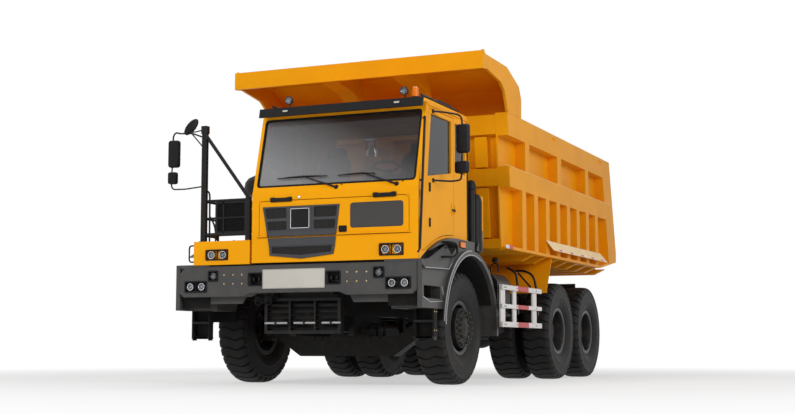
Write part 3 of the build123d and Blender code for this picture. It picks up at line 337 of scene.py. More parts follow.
# %% Node helper and colours
def colour(red, green, blue):
    """A display colour of 0 to 255 as the linear colour that a shader works with."""
    share = np.array([red, green, blue]) / 255
    return (*np.where(share <= 0.04045, share / 12.92, ((share + 0.055) / 1.055) ** 2.4), 1.0)


def add(tree, kind, inputs=None, **settings):
    """A shader node with its settings and inputs: an input that is a socket is linked, else it is a value."""
    node = tree.nodes.new("ShaderNode" + kind)
    for key, value in settings.items():
        setattr(node, key, value)
    for key, value in (inputs or {}).items():
        if isinstance(value, bpy.types.NodeSocket):
            tree.links.new(value, node.inputs[key])
        else:
            node.inputs[key].default_value = value
    return node


def new_material(name):
    """An empty material and its node tree, with the output node."""
    made = bpy.data.materials.new(name)
    made.use_nodes = True
    made.node_tree.nodes.clear()
    return made, made.node_tree, add(made.node_tree, "OutputMaterial")


def noise(tree, place, scale, detail=3.0, rough=0.55):
    """The value of a noise texture of that many bumps a metre."""
    return add(tree, "TexNoise", {"Vector": place, "Scale": scale, "Detail": detail,
                                  "Roughness": rough}).outputs["Fac"]


def ramp(tree, value, low, high, bottom=0.0, top=1.0):
    """The value mapped in a straight line from low..high to bottom..top, and clamped."""
    return add(tree, "MapRange", {"Value": value, "From Min": low, "From Max": high, "To Min": bottom,
                                  "To Max": top}).outputs["Result"]


def blend(tree, share, first, second):
    """A colour mix."""
    node = add(tree, "Mix", {0: share}, data_type="RGBA")
    for index, value in ((6, first), (7, second)):
        if isinstance(value, bpy.types.NodeSocket):
            tree.links.new(value, node.inputs[index])
        else:
            node.inputs[index].default_value = value
    return node.outputs[2]


# %% [markdown]
# A finish is built from a Principled shader. Noise on Object coordinates varies its colour and roughness
# a little, a finer noise gives the bump of the paint or casting, and a Bevel node rounds the shading of
# sharp edges, so that plates catch a thin line of light as real folded sheet does. Road dust gathers low
# down, so a height ramp with noise mixes a dust colour in near the ground.

# %% The general finish
DUST = colour(150, 132, 108)


def coating(name, base, roughness=0.4, metallic=0.0, coat=0.0, dust=0.25, mottle=0.06, grain=(400, 0.0004),
            waves=0.0, edge=0.004, spots=None, ahead_of=None):
    """A painted, moulded or cast surface. grain is (bumps a metre, height), waves the height of slow dents,
    ahead_of (y, colour): everything in front of that y takes the other colour."""
    made, tree, output = new_material(name)
    place = add(tree, "TexCoord").outputs["Object"]
    cloud = noise(tree, place, 2.2)
    dark, light = np.array(base) * (1 - mottle), np.minimum(np.array(base) * (1 + mottle), 1)
    tint = blend(tree, ramp(tree, cloud, 0.3, 0.7), (*dark[:3], 1), (*light[:3], 1))
    if spots:
        tint = blend(tree, ramp(tree, noise(tree, place, spots[0], 6, 0.7), 0.56, 0.7, 0, spots[1]), tint,
                     spots[2])
    parts = add(tree, "SeparateXYZ", {"Vector": place}).outputs
    if ahead_of:
        front = add(tree, "Math", {0: parts["Y"], 1: ahead_of[0]}, operation="LESS_THAN").outputs[0]
        tint = blend(tree, front, tint, ahead_of[1])
    height = parts["Z"]
    low = ramp(tree, height, 0.15, 1.9, 1.0, 0.25)
    patch = ramp(tree, noise(tree, place, 7, 6, 0.65), 0.42, 0.75)
    film = add(tree, "Math", {0: low, 1: patch}, operation="MULTIPLY").outputs[0]
    film = add(tree, "Math", {0: film, 1: dust}, operation="MULTIPLY").outputs[0]
    tint = blend(tree, film, tint, DUST)
    matt = add(tree, "Math", {0: film, 1: roughness - 0.04}, operation="ADD").outputs[0]
    speckle = ramp(tree, noise(tree, place, 30, 3), 0.3, 0.7, 0, 0.08)
    matt = add(tree, "Math", {0: speckle, 1: matt}, operation="ADD").outputs[0]
    normal = add(tree, "Bevel", {"Radius": edge}, samples=3).outputs["Normal"]
    if waves:
        normal = add(tree, "Bump", {"Height": noise(tree, place, 1.7, 1), "Distance": waves, "Normal": normal}
                     ).outputs["Normal"]
    normal = add(tree, "Bump", {"Height": noise(tree, place, grain[0], 2), "Distance": grain[1],
                                "Normal": normal}).outputs["Normal"]
    shader = add(tree, "BsdfPrincipled", {"Base Color": tint, "Metallic": metallic, "Roughness": matt,
                                          "Normal": normal, "Coat Weight": coat, "Coat Roughness": 0.12,
                                          "Specular IOR Level": 0.2})
    tree.links.new(shader.outputs[0], output.inputs["Surface"])
    return made


# %% [markdown]
# One function with a few settings covers all the opaque finishes. The cab's paint is used three times:
# plain, with a dark visor ahead of the roof, and with black hinge barrels ahead of the cab's face. Those
# dark parts belong to the same construction piece, so the colour changes at a plane instead of at a seam.

# %% Paints, plastics, rubber and metals of the truck
CAB_YELLOW, VISOR_BACK = colour(244, 164, 0), -4.17
cab_paint = {"roughness": 0.5, "dust": 0.06, "mottle": 0.03, "grain": (500, 0.0002), "waves": 0.006,
             "edge": 0.006}
yellow = coating("yellow_paint", CAB_YELLOW, **cab_paint)
roof_yellow = coating("roof_paint", CAB_YELLOW, **cab_paint, ahead_of=(VISOR_BACK, colour(22, 22, 24)))
hatch_yellow = coating("hatch_paint", CAB_YELLOW, **cab_paint, ahead_of=(CAB_Y - 0.0025, colour(20, 20, 22)))
body_yellow = coating("body_yellow", colour(238, 158, 0), 0.5, coat=0.02, dust=0.10, mottle=0.05,
                      grain=(260, 0.0004), waves=0.012, edge=0.006)
grey = coating("grey_paint", colour(70, 70, 70), 0.45, coat=0.08, dust=0.18, grain=(320, 0.0005), edge=0.007)
grey_plastic = coating("grey_plastic", colour(68, 69, 72), 0.5, dust=0.15, grain=(900, 0.0004), edge=0.005)
black = coating("black_paint", colour(22, 22, 24), 0.42, dust=0.1, grain=(300, 0.0004), edge=0.004)
black_plastic = coating("black_plastic", colour(20, 20, 22), 0.5, dust=0.04, grain=(1100, 0.0004), edge=0.003)
cast_iron = coating("cast_iron", colour(26, 26, 26), 0.55, dust=0.15, mottle=0.2, grain=(140, 0.0015),
                    edge=0.006)
rim_grey = coating("rim_paint", colour(30, 30, 32), 0.38, coat=0.15, dust=0.12, grain=(260, 0.0005),
                   edge=0.004)
steel = coating("bare_steel", colour(168, 166, 162), 0.34, metallic=1.0, dust=0.2, grain=(500, 0.0003),
                edge=0.002)
chrome = coating("chrome", colour(225, 226, 228), 0.12, metallic=1.0, dust=0.02, grain=(60, 0.0001),
                 edge=0.002)
flap_rubber = coating("flap_sheet", colour(250, 222, 174), 0.6, dust=0.1, grain=(200, 0.0006), edge=0.003)
liner = coating("dark_rubber", colour(12, 12, 13), 0.75, dust=0.08, grain=(220, 0.001), edge=0.003)
white_paint = coating("white_paint", colour(226, 222, 220), 0.4, coat=0.2, dust=0.15, edge=0.004)
red_paint = coating("red_paint", colour(190, 52, 54), 0.4, coat=0.2, dust=0.15, edge=0.004)
sign_dark = coating("sign_panel", colour(66, 65, 64), 0.35, coat=0.1, dust=0.03, grain=(800, 0.0001))
plate_white = coating("plate_white", colour(196, 191, 182), 0.35, coat=0.2, dust=0.05, grain=(300, 0.0001))
cushion_cloth = coating("seat_fabric", colour(92, 84, 78), 0.85, dust=0.0, mottle=0.15, grain=(700, 0.0012),
                        edge=0.002)
print("finishes:", len(bpy.data.materials))

# %% [markdown]
# ## Glass and lenses
# A pane is thin, so bending the light inside it would only cost time and leave the cab black. A mix of
# a tinted Transparent shader and a Glossy one, weighted by Fresnel, lets the seats show through and still
# mirrors the bright surroundings at a flat angle. A lamp's lens is the same with hardly any tint.

# %% Panes and lenses
def pane(name, tint, shine=1.5, painted_veil=0.0, painted_veil_colour=(0.05, 0.05, 0.05, 1), painted_shade_colour=None):
    """Thin glass: mostly a tinted view of what is behind, with a mirror that grows towards flat angles. The
    veil is a diffuse colour mixed in as painted reflection and shade, which can darken towards the truck's
    upper left as painted shade."""
    made, tree, output = new_material(name)
    if painted_shade_colour:
        place = add(tree, "SeparateXYZ", {"Vector": add(tree, "TexCoord").outputs["Object"]}).outputs
        share = add(tree, "Math", {0: place["Z"], 1: 0.9, 2: -2.55}, operation="MULTIPLY_ADD").outputs[0]
        share = add(tree, "Math", {0: place["X"], 1: 0.45, 2: share}, operation="MULTIPLY_ADD").outputs[0]
        painted_veil_colour = blend(tree, ramp(tree, share, -0.25, 0.75), painted_veil_colour, painted_shade_colour)
    clear = add(tree, "BsdfTransparent", {"Color": tint})
    mirror = add(tree, "BsdfGlossy", {"Color": (0.9, 0.92, 0.95, 1), "Roughness": 0.02})
    painted_veil_diffuse = add(tree, "BsdfDiffuse", {"Color": painted_veil_colour})
    body = add(tree, "MixShader", {0: painted_veil, 1: clear.outputs[0], 2: painted_veil_diffuse.outputs[0]})
    edge_on = add(tree, "Fresnel", {"IOR": shine}).outputs[0]
    shader = add(tree, "MixShader", {0: edge_on, 1: body.outputs[0], 2: mirror.outputs[0]})
    tree.links.new(shader.outputs[0], output.inputs["Surface"])
    return made


# painted reflection and shade: the windscreen's veil is pale grey low down and darkens towards its upper
# left, and the side glass's dark veil is painted shade
window_glass = pane("window_glass", (0.86, 0.87, 0.88, 1), 1.3, 0.38, (0.50, 0.50, 0.51, 1),
                    (0.03, 0.03, 0.032, 1))
side_glass = pane("side_glass", (0.55, 0.55, 0.56, 1), 1.35, 0.35, (0.06, 0.06, 0.065, 1))
lens = pane("lamp_lens", (0.93, 0.94, 0.95, 1), 1.35)
amber = coating("amber_lens", colour(232, 118, 0), 0.3, coat=0.2, dust=0.02, grain=(300, 0.0006))
red_lens = coating("red_lens", colour(170, 20, 18), 0.2, coat=0.8, dust=0.02, grain=(300, 0.0006))
print("panes and lenses made")

# %% [markdown]
# ## Paint the construction pieces
# A construction piece whose shape is right stays, and only its material slots change. The table names the
# finish of each, and the loop writes it into every slot of the node.

# %% Finishes of the construction nodes
finishes = {
    body_yellow: ("body_floor", "body_front_wall", "body_side_left", "body_side_right", "body_canopy",
                  "wheel_guards"),
    yellow: ("cab_sides", "cab_rear", "door_left", "door_right", "platform_box", "hoist_barrel"),
    roof_yellow: ("cab_roof",),
    hatch_yellow: ("cab_front", "front_hatch"),
    grey: ("front_bumper", "front_fenders"),
    black: ("chassis_frame", "engine_block", "access_steps", "radiator_guard", "side_tanks", "platform_rails",
            "handrails", "mirror_left", "leaf_springs"),
    black_plastic: ("dashboard", "cab_floor", "steering_wheel", "air_cleaner"),
    cast_iron: ("front_axle", "rear_axles", "knuckle_left", "knuckle_right", "drive_shaft"),
    rim_grey: tuple(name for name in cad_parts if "rim" in name),
    liner: tuple(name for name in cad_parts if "tyre" in name),
    chrome: ("hoist_stage", "hoist_rod", "lamps"),
    white_paint: ("side_guards",),
    flap_rubber: ("mud_flaps",),
    window_glass: ("cab_windows",),
    side_glass: ("door_left_glass", "door_right_glass"),
    cushion_cloth: ("seats",),
}
for finish, names in finishes.items():
    for name in names:
        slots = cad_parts[name].material_slots
        for item in slots:
            item.material = finish
painted = sum(len(names) for names in finishes.values())
print("painted", painted, "of", len(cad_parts))

# %% [markdown]
# ## Tyres
# A mine tyre has deep grooves that run across the tread in a shallow zigzag and open into notches at the
# shoulders. Cutting them one by one would be slow and heavy. Here the tyre's section is a closed profile,
# and the columns of points around the wheel follow the groove edges themselves: five columns a lug give
# sharp walls with few faces. A point in a groove moves inwards, square to the profile.

# %% The section of a tyre
LUGS = 34
half_section = np.array([  # distance from the centre plane, radius, depth of the groove there
    (0.000, 0.745, 0.016), (0.030, 0.745, 0.016), (0.060, 0.745, 0.018), (0.090, 0.744, 0.020),
    (0.120, 0.742, 0.024), (0.150, 0.738, 0.027), (0.172, 0.731, 0.028), (0.188, 0.719, 0.028),
    (0.198, 0.700, 0.024), (0.205, 0.680, 0.015), (0.2085, 0.664, 0.0), (0.2125, 0.660, 0.0),
    (0.2125, 0.652, 0.0), (0.2100, 0.648, 0.0), (0.2115, 0.610, 0.0), (0.2125, 0.570, 0.0),
    (0.2122, 0.545, 0.0), (0.2110, 0.520, 0.0), (0.2125, 0.517, 0.0), (0.2125, 0.510, 0.0),
    (0.2090, 0.507, 0.0), (0.2050, 0.480, 0.0), (0.1970, 0.450, 0.0), (0.1850, 0.420, 0.0),
    (0.1730, 0.400, 0.0), (0.1740, 0.394, 0.0), (0.1640, 0.380, 0.0), (0.1500, 0.366, 0.0),
    (0.1430, 0.362, 0.0), (0.1430, 0.319, 0.0)])
section = np.vstack([half_section[:0:-1] * (-1, 1, 1), half_section, half_section[-1:] * (-1, 1, 1)])
section = np.vstack([section, section[:1]])
print("points round the section:", len(section))


def tyre(centre_x, axle_y, lean):
    """Points (i, j): i runs round the section, j round the wheel. The angle of column j is its lug's start
    plus a share of the groove's width, plus a zigzag of the distance from the centre plane."""
    offset, depth = section[:, 0], section[:, 2]
    slope = np.gradient(section[:, :2], axis=0)
    normal = np.stack([slope[:, 1], -slope[:, 0]], axis=1)
    normal /= np.maximum(np.linalg.norm(normal, axis=1), 1e-9)[:, None]
    normal *= np.sign(normal @ (0, 1) + 0.2 * normal[:, 0] * np.sign(offset))[:, None]
    pitch = 2 * math.pi / LUGS
    width = (0.085 + 0.10 * np.clip(np.abs(offset) / 0.2, 0, 1) ** 3) * pitch
    zigzag = lean * 0.026 / TYRE_RADIUS * (np.abs((offset / 0.15 + 0.5) % 2 - 1) * 2 - 1)
    edges = np.array([-1.0, -0.5, 0.5, 1.0, 0.0])
    sunk = np.tile([0.0, 1.0, 1.0, 0.0, 0.0], LUGS)
    shift = np.tile([0.0, 0.0, 0.0, 0.0, 0.5], LUGS) * pitch
    start = np.repeat(np.arange(LUGS) * pitch, len(edges)) + shift
    angle = start[None] + np.tile(edges, LUGS)[None] * width[:, None] + zigzag[:, None]
    flat = section[:, None, :2] - (depth[:, None] * sunk[None])[..., None] * normal[:, None]
    points = np.stack([centre_x + flat[..., 0], axle_y + flat[..., 1] * np.cos(angle),
                       TYRE_RADIUS + flat[..., 1] * np.sin(angle)], axis=-1)
    return grid(points, around=True)


# %% [markdown]
# Each wheel gets one or two such tyres. The construction model gives the place: a node's box holds the
# axle in its middle, and the twin tyres touch its left and right sides.

# %% Tyres of the six wheels
rubber = coating("tyre_rubber", colour(23, 23, 24), 0.6, dust=0.06, mottle=0.12, grain=(160, 0.0012),
                 edge=0.003, spots=(9, 0.10, colour(58, 56, 54)))
wheel_rows = [  # name, body, tyre node, tyres on one side
    ("front", "wheel_front", "front_{}_tyre", 1),
    ("middle", "wheels_middle", "middle_{}_tyres", 2),
    ("rear", "wheels_rear", "rear_{}_tyres", 2),
]
TYRE_WIDTH = span("front_left_tyre")[1][0] - span("front_left_tyre")[0][0]
wheels = []  # name, body, node, side's sign, Y of the axle, X of each tyre's centre plane
for name, body, node, count in wheel_rows:
    for side, sign in (("left", 1), ("right", -1)):
        low, high = span(node.format(side))
        planes = [low[0] + TYRE_WIDTH / 2, high[0] - TYRE_WIDTH / 2][:count]
        axle_y = (low[1] + high[1]) / 2
        wheels.append((f"{name}_{side}", f"{body}_{side}", node.format(side), sign, axle_y, planes))
for name, body, node, sign, axle_y, planes in wheels:
    piece(name + "_tread", body, "tyre", *[(tyre(plane_x, axle_y, sign), rubber) for plane_x in planes],
          replaces=[node])

# %% [markdown]
# ## Rims and hubs
# A heavy rim is a barrel with a rolled flange, a disc set into it, and a hub that stands out of the front
# wheels and lies deep in the rear ones. The disc has real hand holes: each sector is a frame whose outer
# edge is the sector's outline and whose inner edge is the hole's, bent round the axle, with a dish that
# depends on the radius only.

# %% The parts of a rim
def disc(centre, out, inner, outer, holes, hole_size, dish):
    """A dished disc with round holes. In each sector, rings run from the sector's edge to the hole's."""
    step = 2 * math.pi / holes
    turn = np.linspace(0, 2 * math.pi, 25)[:-1]
    square = np.stack([np.cos(turn), np.sin(turn)], axis=1)
    square /= np.abs(square).max(axis=1)[:, None]
    middle, reach = (inner + outer) / 2, (outer - inner) / 2
    edge = np.stack([square[:, 0] * step / 2, middle + square[:, 1] * reach], axis=1)
    hole = np.stack([np.cos(turn) * hole_size / middle, middle + np.sin(turn) * hole_size], axis=1)
    share = np.array([0.0, 0.4, 0.8, 1.0, 1.0])[:, None, None]
    flat = edge * (1 - share) + hole * share
    depth = np.interp(flat[..., 1], *np.array(dish).T) + np.array([0, 0, 0, 0, -0.02])[:, None]
    angle, radius = flat[..., 0], flat[..., 1]
    points = np.stack([centre[0] + out * depth, centre[1] + radius * np.cos(angle),
                       centre[2] + radius * np.sin(angle)], axis=-1)
    return turned_about(grid(points, around=True), np.array(centre), np.arange(holes) * step)


def rim(centre, out, disc_depth, hub, studs, stud_ring):
    """A rim: barrel and flanges, disc with hand holes, hub profile, and a ring of studs with nuts."""
    axis = (out, 0, 0)
    barrel = turned([(-0.157, 0.300), (-0.157, 0.362), (-0.150, 0.366), (-0.143, 0.362), (-0.143, 0.320),
                     (0.143, 0.320), (0.143, 0.362), (0.150, 0.367), (0.158, 0.362), (0.160, 0.345),
                     (0.152, 0.312), (0.120, 0.300), (-0.157, 0.300)], centre, axis, 72)
    dish = [(0.15, disc_depth + 0.03), (0.235, disc_depth + 0.03), (0.262, disc_depth),
            (0.302, disc_depth - 0.02)]
    web = disc(centre, out, 0.20, 0.302, 10, 0.03, dish)
    drum = turned(hub, centre, axis, 48)
    place = np.array(centre) + (out * studs, stud_ring, 0)
    nut = join(turned([(-0.03, 0), (-0.03, 0.019), (0.022, 0.019), (0.026, 0.014), (0.026, 0)],
                      place, axis, 6),
               turned([(0, 0), (0, 0.011), (0.052, 0.011), (0.056, 0.008), (0.056, 0)],
                      place, axis, 8))
    nuts = turned_about(nut, np.array(centre), np.arange(18) * math.pi / 9)
    return barrel, web, drum, nuts


# %% [markdown]
# The front hub stands out as a planetary drum, and the rear one is sunk between the twins. Only the hub's
# profile and the places of the studs differ, so both are settings of the same rim.

# %% Front and rear rims
front_hub = [(0.02, 0.0), (0.02, 0.205), (0.08, 0.215), (0.10, 0.262), (0.188, 0.262), (0.198, 0.252),
             (0.198, 0.185), (0.188, 0.170), (0.188, 0.140), (0.226, 0.128), (0.236, 0.112), (0.236, 0.050),
             (0.242, 0.042), (0.242, 0.0)]
rear_hub = [(-0.20, 0.0), (-0.20, 0.215), (-0.11, 0.225), (-0.10, 0.18), (-0.04, 0.165), (0.03, 0.150),
            (0.05, 0.132), (0.05, 0.060), (0.058, 0.050), (0.058, 0.0)]
stud_steel = coating("stud_steel", colour(70, 70, 70), 0.3, metallic=0.8, dust=0.1, grain=(300, 0.0006))
for name, body, node, sign, axle_y, planes in wheels:
    inner_x, outer_x = min(planes, key=abs), max(planes, key=abs)
    centre = (outer_x, axle_y, TYRE_RADIUS)
    if len(planes) == 1:
        barrel, web, drum, nuts = rim(centre, sign, 0.06, front_hub, 0.2, 0.225)
        extra = []
    else:
        barrel, web, drum, nuts = rim(centre, sign, -0.11, rear_hub, -0.085, 0.2)
        inner = turned([(-0.157, 0.300), (-0.157, 0.362), (-0.143, 0.362), (-0.143, 0.320), (0.143, 0.320),
                        (0.143, 0.362), (0.157, 0.362), (0.157, 0.300), (-0.157, 0.300)],
                       (inner_x, axle_y, TYRE_RADIUS), (sign, 0, 0), 72)
        gap = abs(outer_x - inner_x)
        spacer = turned([(-gap + 0.1, 0.14), (-gap + 0.1, 0.296), (-0.12, 0.296), (-0.12, 0.14),
                         (-gap + 0.1, 0.14)], centre, (sign, 0, 0), 48)
        extra = [(join(inner, spacer), rim_grey)]
    piece(name + "_rim_detail", body, "rim_paint", (join(barrel, web), rim_grey), (drum, cast_iron),
          (nuts, stud_steel), *extra, replaces=[node.replace("tyre", "rim")])

# %% [markdown]
# ## Rings, cells and wire mesh
# Frames, bezels and grilles are plates with a hole. A ring plate is four loops of points: outer edge back
# and front, inner edge front and back, closed on itself. A grille is tiled from cells, each a ring plate
# whose outer edge is one cell and whose inner edge is its rounded window, and wire mesh is a set of thin
# sticks laid both ways across a rectangle.

# %% Ring plates, cells and sticks
def ring_plate(outer, inner, thickness, origin, along, up, edge=0.0015):
    """A plate with a hole: outlines of as many points each, and loops between them closed on themselves."""
    outer, inner, along, up = (np.asarray(value, float) for value in (outer, inner, along, up))
    along, up = along / np.linalg.norm(along), up / np.linalg.norm(up)
    out = np.cross(along, up)
    loops = [(outer, 0), (outer, thickness - edge), (outer + (inner - outer) * 0.04, thickness),
             (inner + (outer - inner) * 0.04, thickness), (inner, thickness - edge), (inner, 0), (outer, 0)]
    return grid(np.array([np.asarray(origin) + flat[:, :1] * along + flat[:, 1:] * up + depth * out
                          for flat, depth in loops]), around=True)


def front_ring(outer, inner, y_back, thickness):
    """A ring plate with its face to the front."""
    return ring_plate(outer, inner, thickness, (0, y_back, 0), (1, 0, 0), (0, 0, 1))


def framed(low, high, border, radius, steps=3):
    """The outer and inner outlines of a rounded frame between two (across, up) corners."""
    low, high = np.array(low), np.array(high)
    (width, height), centre = high - low, (high + low) / 2
    inner_radius = max(radius - border, radius * 0.5)
    return (rounded(width, height, radius, steps, centre),
            rounded(width - 2 * border, height - 2 * border, inner_radius, steps, centre))


def cell(quad, margin, radius=0.12, steps=3):
    """A grille cell: its four corners, each repeated, and its window, a rounded square mapped into them."""
    quad = np.asarray(quad, float)
    unit = rounded(1 - 2 * margin[0], 1 - 2 * margin[1], radius, steps, (0.5, 0.5))
    u, v = unit[:, :1], unit[:, 1:]
    window = (1 - u) * (1 - v) * quad[0] + u * (1 - v) * quad[1] + u * v * quad[2] + (1 - u) * v * quad[3]
    return np.repeat(quad[[2, 3, 0, 1]], steps + 1, axis=0), window


def sticks(starts, ends, width, depth, out):
    """Thin square bars from starts to ends: each is eight points and six quads, all worked out together."""
    starts, ends, out = np.asarray(starts, float), np.asarray(ends, float), np.asarray(out, float)
    run = ends - starts
    sideways = np.cross(run, out)
    sideways *= width / 2 / np.linalg.norm(sideways, axis=1)[:, None]
    rings = np.stack([starts, ends], axis=1)[:, :, None]
    lift = np.array([0, 0, 1, 1])[:, None] * out * depth
    sway = np.array([-1, 1, 1, -1])[None, :, None] * sideways[:, None]
    points = (rings + (lift[None] + sway)[:, None]).reshape(-1, 3)
    faces = np.array([0, 1, 5, 4, 1, 2, 6, 5, 2, 3, 7, 6, 3, 0, 4, 7, 3, 2, 1, 0, 4, 5, 6, 7])
    corners = (np.arange(len(starts)) * 8)[:, None] + faces[None]
    return points, corners.ravel(), np.full(6 * len(starts), 4)


def front_mesh(low, high, y, pitch=0.018, wire=0.004):
    """Diagonal wire mesh in a rectangle facing front: lines x + z = c and x - z = c, cut at its sides."""
    (x0, z0), (x1, z1) = low, high
    sums = np.arange(x0 + z0 + pitch, x1 + z1, pitch * 1.4)
    starts = np.maximum(x0, sums - z1)
    ends = np.minimum(x1, sums - z0)
    level = np.full(len(sums), y)
    slopes = []
    for from_z, to_z in ((sums - starts, sums - ends), (z0 + z1 - (sums - starts), z0 + z1 - (sums - ends))):
        slopes.append(sticks(np.stack([starts, level, from_z], 1), np.stack([ends, level, to_z], 1), wire,
                             0.003, (0, -1, 0)))
    return join(*slopes)


# %% [markdown]
# ## The grille
# The grille is dark moulded plastic in two parts. The upper one rides on the hatch: two rows of mesh
# windows either side of a bare square with a bright rim. The lower one stays on the cab, a lighter band
# over one long mesh window with a pointed lower edge.

# %% Upper grille and panels of the hatch
HATCH_FOOT = span("front_hatch")[0][2]
GRILLE_TOP = HATCH_FOOT + 0.387
LEAN_RIGHT, LEAN_LEFT = 0.073 / 0.39, 0.047 / 0.39   # how fast the grille's two ends draw in going down
grille_x = (-0.458, 0.636)


def grille_end(z, end):
    """X of the grille's end at a height: it draws in towards the foot in a straight line."""
    drop = GRILLE_TOP - z
    return grille_x[0] + drop * LEAN_RIGHT if end == 0 else grille_x[1] - drop * LEAN_LEFT


def grille_band(low_z, high_z):
    """The four corners (X, Z) of the grille's outline between two heights."""
    return [(grille_end(low_z, 0), low_z), (grille_end(low_z, 1), low_z), (grille_end(high_z, 1), high_z),
            (grille_end(high_z, 0), high_z)]


mesh_grey = coating("mesh_grey", colour(64, 62, 60), 0.5, dust=0.1)
badge_x, badge_z = (-0.085, 0.249), (HATCH_FOOT + 0.068, GRILLE_TOP)
middle_z = HATCH_FOOT + 0.215
cells, meshes = [], []
for z0, z1 in ((badge_z[0], middle_z), (middle_z, GRILLE_TOP)):
    for quad in ([(grille_end(z0, 0), z0), (badge_x[0], z0), (badge_x[0], z1), (grille_end(z1, 0), z1)],
                 [(badge_x[1], z0), (grille_end(z0, 1), z0), (grille_end(z1, 1), z1), (badge_x[1], z1)]):
        outer, window = cell(quad, (0.075, 0.12), 0.08)
        cells.append(front_ring(outer, window, CAB_Y, 0.014))
        meshes.append(front_mesh(window.min(0) - 0.002, window.max(0) + 0.002, CAB_Y - 0.003))
badge_quad = rectangle((badge_x[0], badge_z[0]), (badge_x[1], badge_z[1]))
outer, window = cell(badge_quad, (0.1, 0.1), 0.02)
cells.append(front_ring(outer, window, CAB_Y, 0.018))
lip = front_plate(grille_band(HATCH_FOOT + 0.004, badge_z[0]), CAB_Y, 0.022, 0.006)
back_z, rim_width = HATCH_FOOT + 0.01, 0.01
back_outline = [(grille_end(back_z, 0) + rim_width, back_z), (grille_end(back_z, 1) - rim_width, back_z),
                (grille_x[1] - rim_width, GRILLE_TOP - rim_width),
                (grille_x[0] + rim_width, GRILLE_TOP - rim_width)]
backing = front_plate(back_outline, CAB_Y, 0.002, 0.0005)
rim_outer, rim_inner = framed((-0.052, badge_z[0] + 0.033), (0.216, badge_z[1] - 0.033), 0.007, 0.012)
badge_rim = front_ring(rim_outer, rim_inner, CAB_Y - 0.01, 0.008)
badge_face = front_plate(rim_inner, CAB_Y - 0.006, 0.006)
piece("hatch_grille", "front_hatch", "grey_plastic", (join(*cells, lip), grey_plastic),
      (backing, black_plastic), (join(*meshes), mesh_grey), (badge_rim, chrome),
      (badge_face, black_plastic))

# %% [markdown]
# Beside the grille lies a dark panel, here left bare, then a square latch plate, and above the hatch sits
# a bright lock knob. They are a rounded plate in a ring, a framed plate, and a small turned shape.

# %% Sign panel, latch and lock
sign_outer, sign_inner = framed((0.783, HATCH_FOOT + 0.081), (1.503, HATCH_FOOT + 0.395), 0.006, 0.035)
sign = front_plate(sign_inner, CAB_Y, 0.003)
sign_rim = front_ring(sign_outer, sign_inner, CAB_Y, 0.004)
latch_outer, latch_inner = framed((0.625, HATCH_FOOT + 0.033), (0.736, HATCH_FOOT + 0.113), 0.012, 0.014)
latch = join(front_ring(latch_outer, latch_inner, CAB_Y, 0.009), front_plate(latch_inner, CAB_Y, 0.003),
             bar((0.655, CAB_Y - 0.012, HATCH_FOOT + 0.05), (0.69, CAB_Y, HATCH_FOOT + 0.097)))
piece("hatch_panels", "front_hatch", "black_plastic", (sign, sign_dark), (sign_rim, grey_plastic),
      (latch, black_plastic))
lock_z = HATCH_FOOT + 0.498
piece("hatch_lock", "chassis", "steel",
      (turned([(0, 0), (0, 0.02), (0.012, 0.02), (0.017, 0.014), (0.02, 0.012), (0.02, 0)],
              (0.061, CAB_Y, lock_z)), chrome))

# %% [markdown]
# The lower grille goes on below the hatch's foot. Its outline has a point in the middle, and so has its
# window, so both are given corner by corner and a ring plate is spanned between them.

# %% Lower grille
low_top, low_mid = HATCH_FOOT - 0.014, HATCH_FOOT - 0.125
low_foot, point_z = HATCH_FOOT - 0.237, HATCH_FOOT - 0.285
outline = np.array([(-0.352, low_foot), (0.102, point_z), (0.552, low_foot),
                    (grille_end(low_mid, 1), low_mid), (grille_end(low_mid, 0), low_mid)])
window = np.array([(-0.322, low_foot + 0.03), (0.102, point_z + 0.045), (0.522, low_foot + 0.03),
                   (grille_end(low_mid, 1) - 0.04, low_mid - 0.008),
                   (grille_end(low_mid, 0) + 0.04, low_mid - 0.008)])
piece("lower_grille", "chassis", "grey_plastic", (front_ring(outline, window, CAB_Y, 0.014), grey_plastic),
      (front_plate(grille_band(low_mid, low_top), CAB_Y, 0.02, 0.008), grey_plastic),
      (front_plate(window, CAB_Y, 0.002, 0.0005), black_plastic),
      (front_mesh((-0.33, low_foot), (0.53, low_mid - 0.006), CAB_Y - 0.003), mesh_grey))

# %% [markdown]
# ## Lamps
# A round lamp is a bright bowl behind a clear dome. It is one turned profile for the bowl and one for the
# dome. A rectangular cluster puts one or two of them into a black frame with a screw in each corner,
# sunk into the opening that the panel has for it.

# %% Round lamps and clusters
def bowl(centre, radius, axis=(0, -1, 0)):
    """A reflector and its bulb: a paraboloid, whose depth grows with the square of the radius."""
    share = np.linspace(0, 1, 8)
    curve = np.stack([(0.75 * share ** 2 - 0.8) * radius, radius * share], axis=1)
    profile = np.vstack([curve, [(0.0, radius * 1.06), (-0.045, radius * 1.1)]])
    bulb = np.array([(-0.8, 0.18), (-0.45, 0.18), (-0.35, 0.1), (-0.33, 0)]) * radius
    return join(turned(profile, centre, axis, 28), turned(bulb, centre, axis, 12))


def dome(centre, radius, axis=(0, -1, 0)):
    """A lens: a shallow cap whose height falls with the square of the radius."""
    share = np.linspace(0, 1, 6)
    curve = np.stack([0.16 * radius * (1 - share ** 2) + 0.004, radius * share], axis=1)
    return turned(np.vstack([curve, [(0.0, radius), (0.0, 0.0)]]), centre, axis, 28)


silver = coating("lamp_bowl", colour(168, 170, 172), 0.22, metallic=0.85, dust=0.0, mottle=0.3,
                 grain=(120, 0.0016))
LAMP_DEPTH, SCREW_INSET = 0.048, 0.012


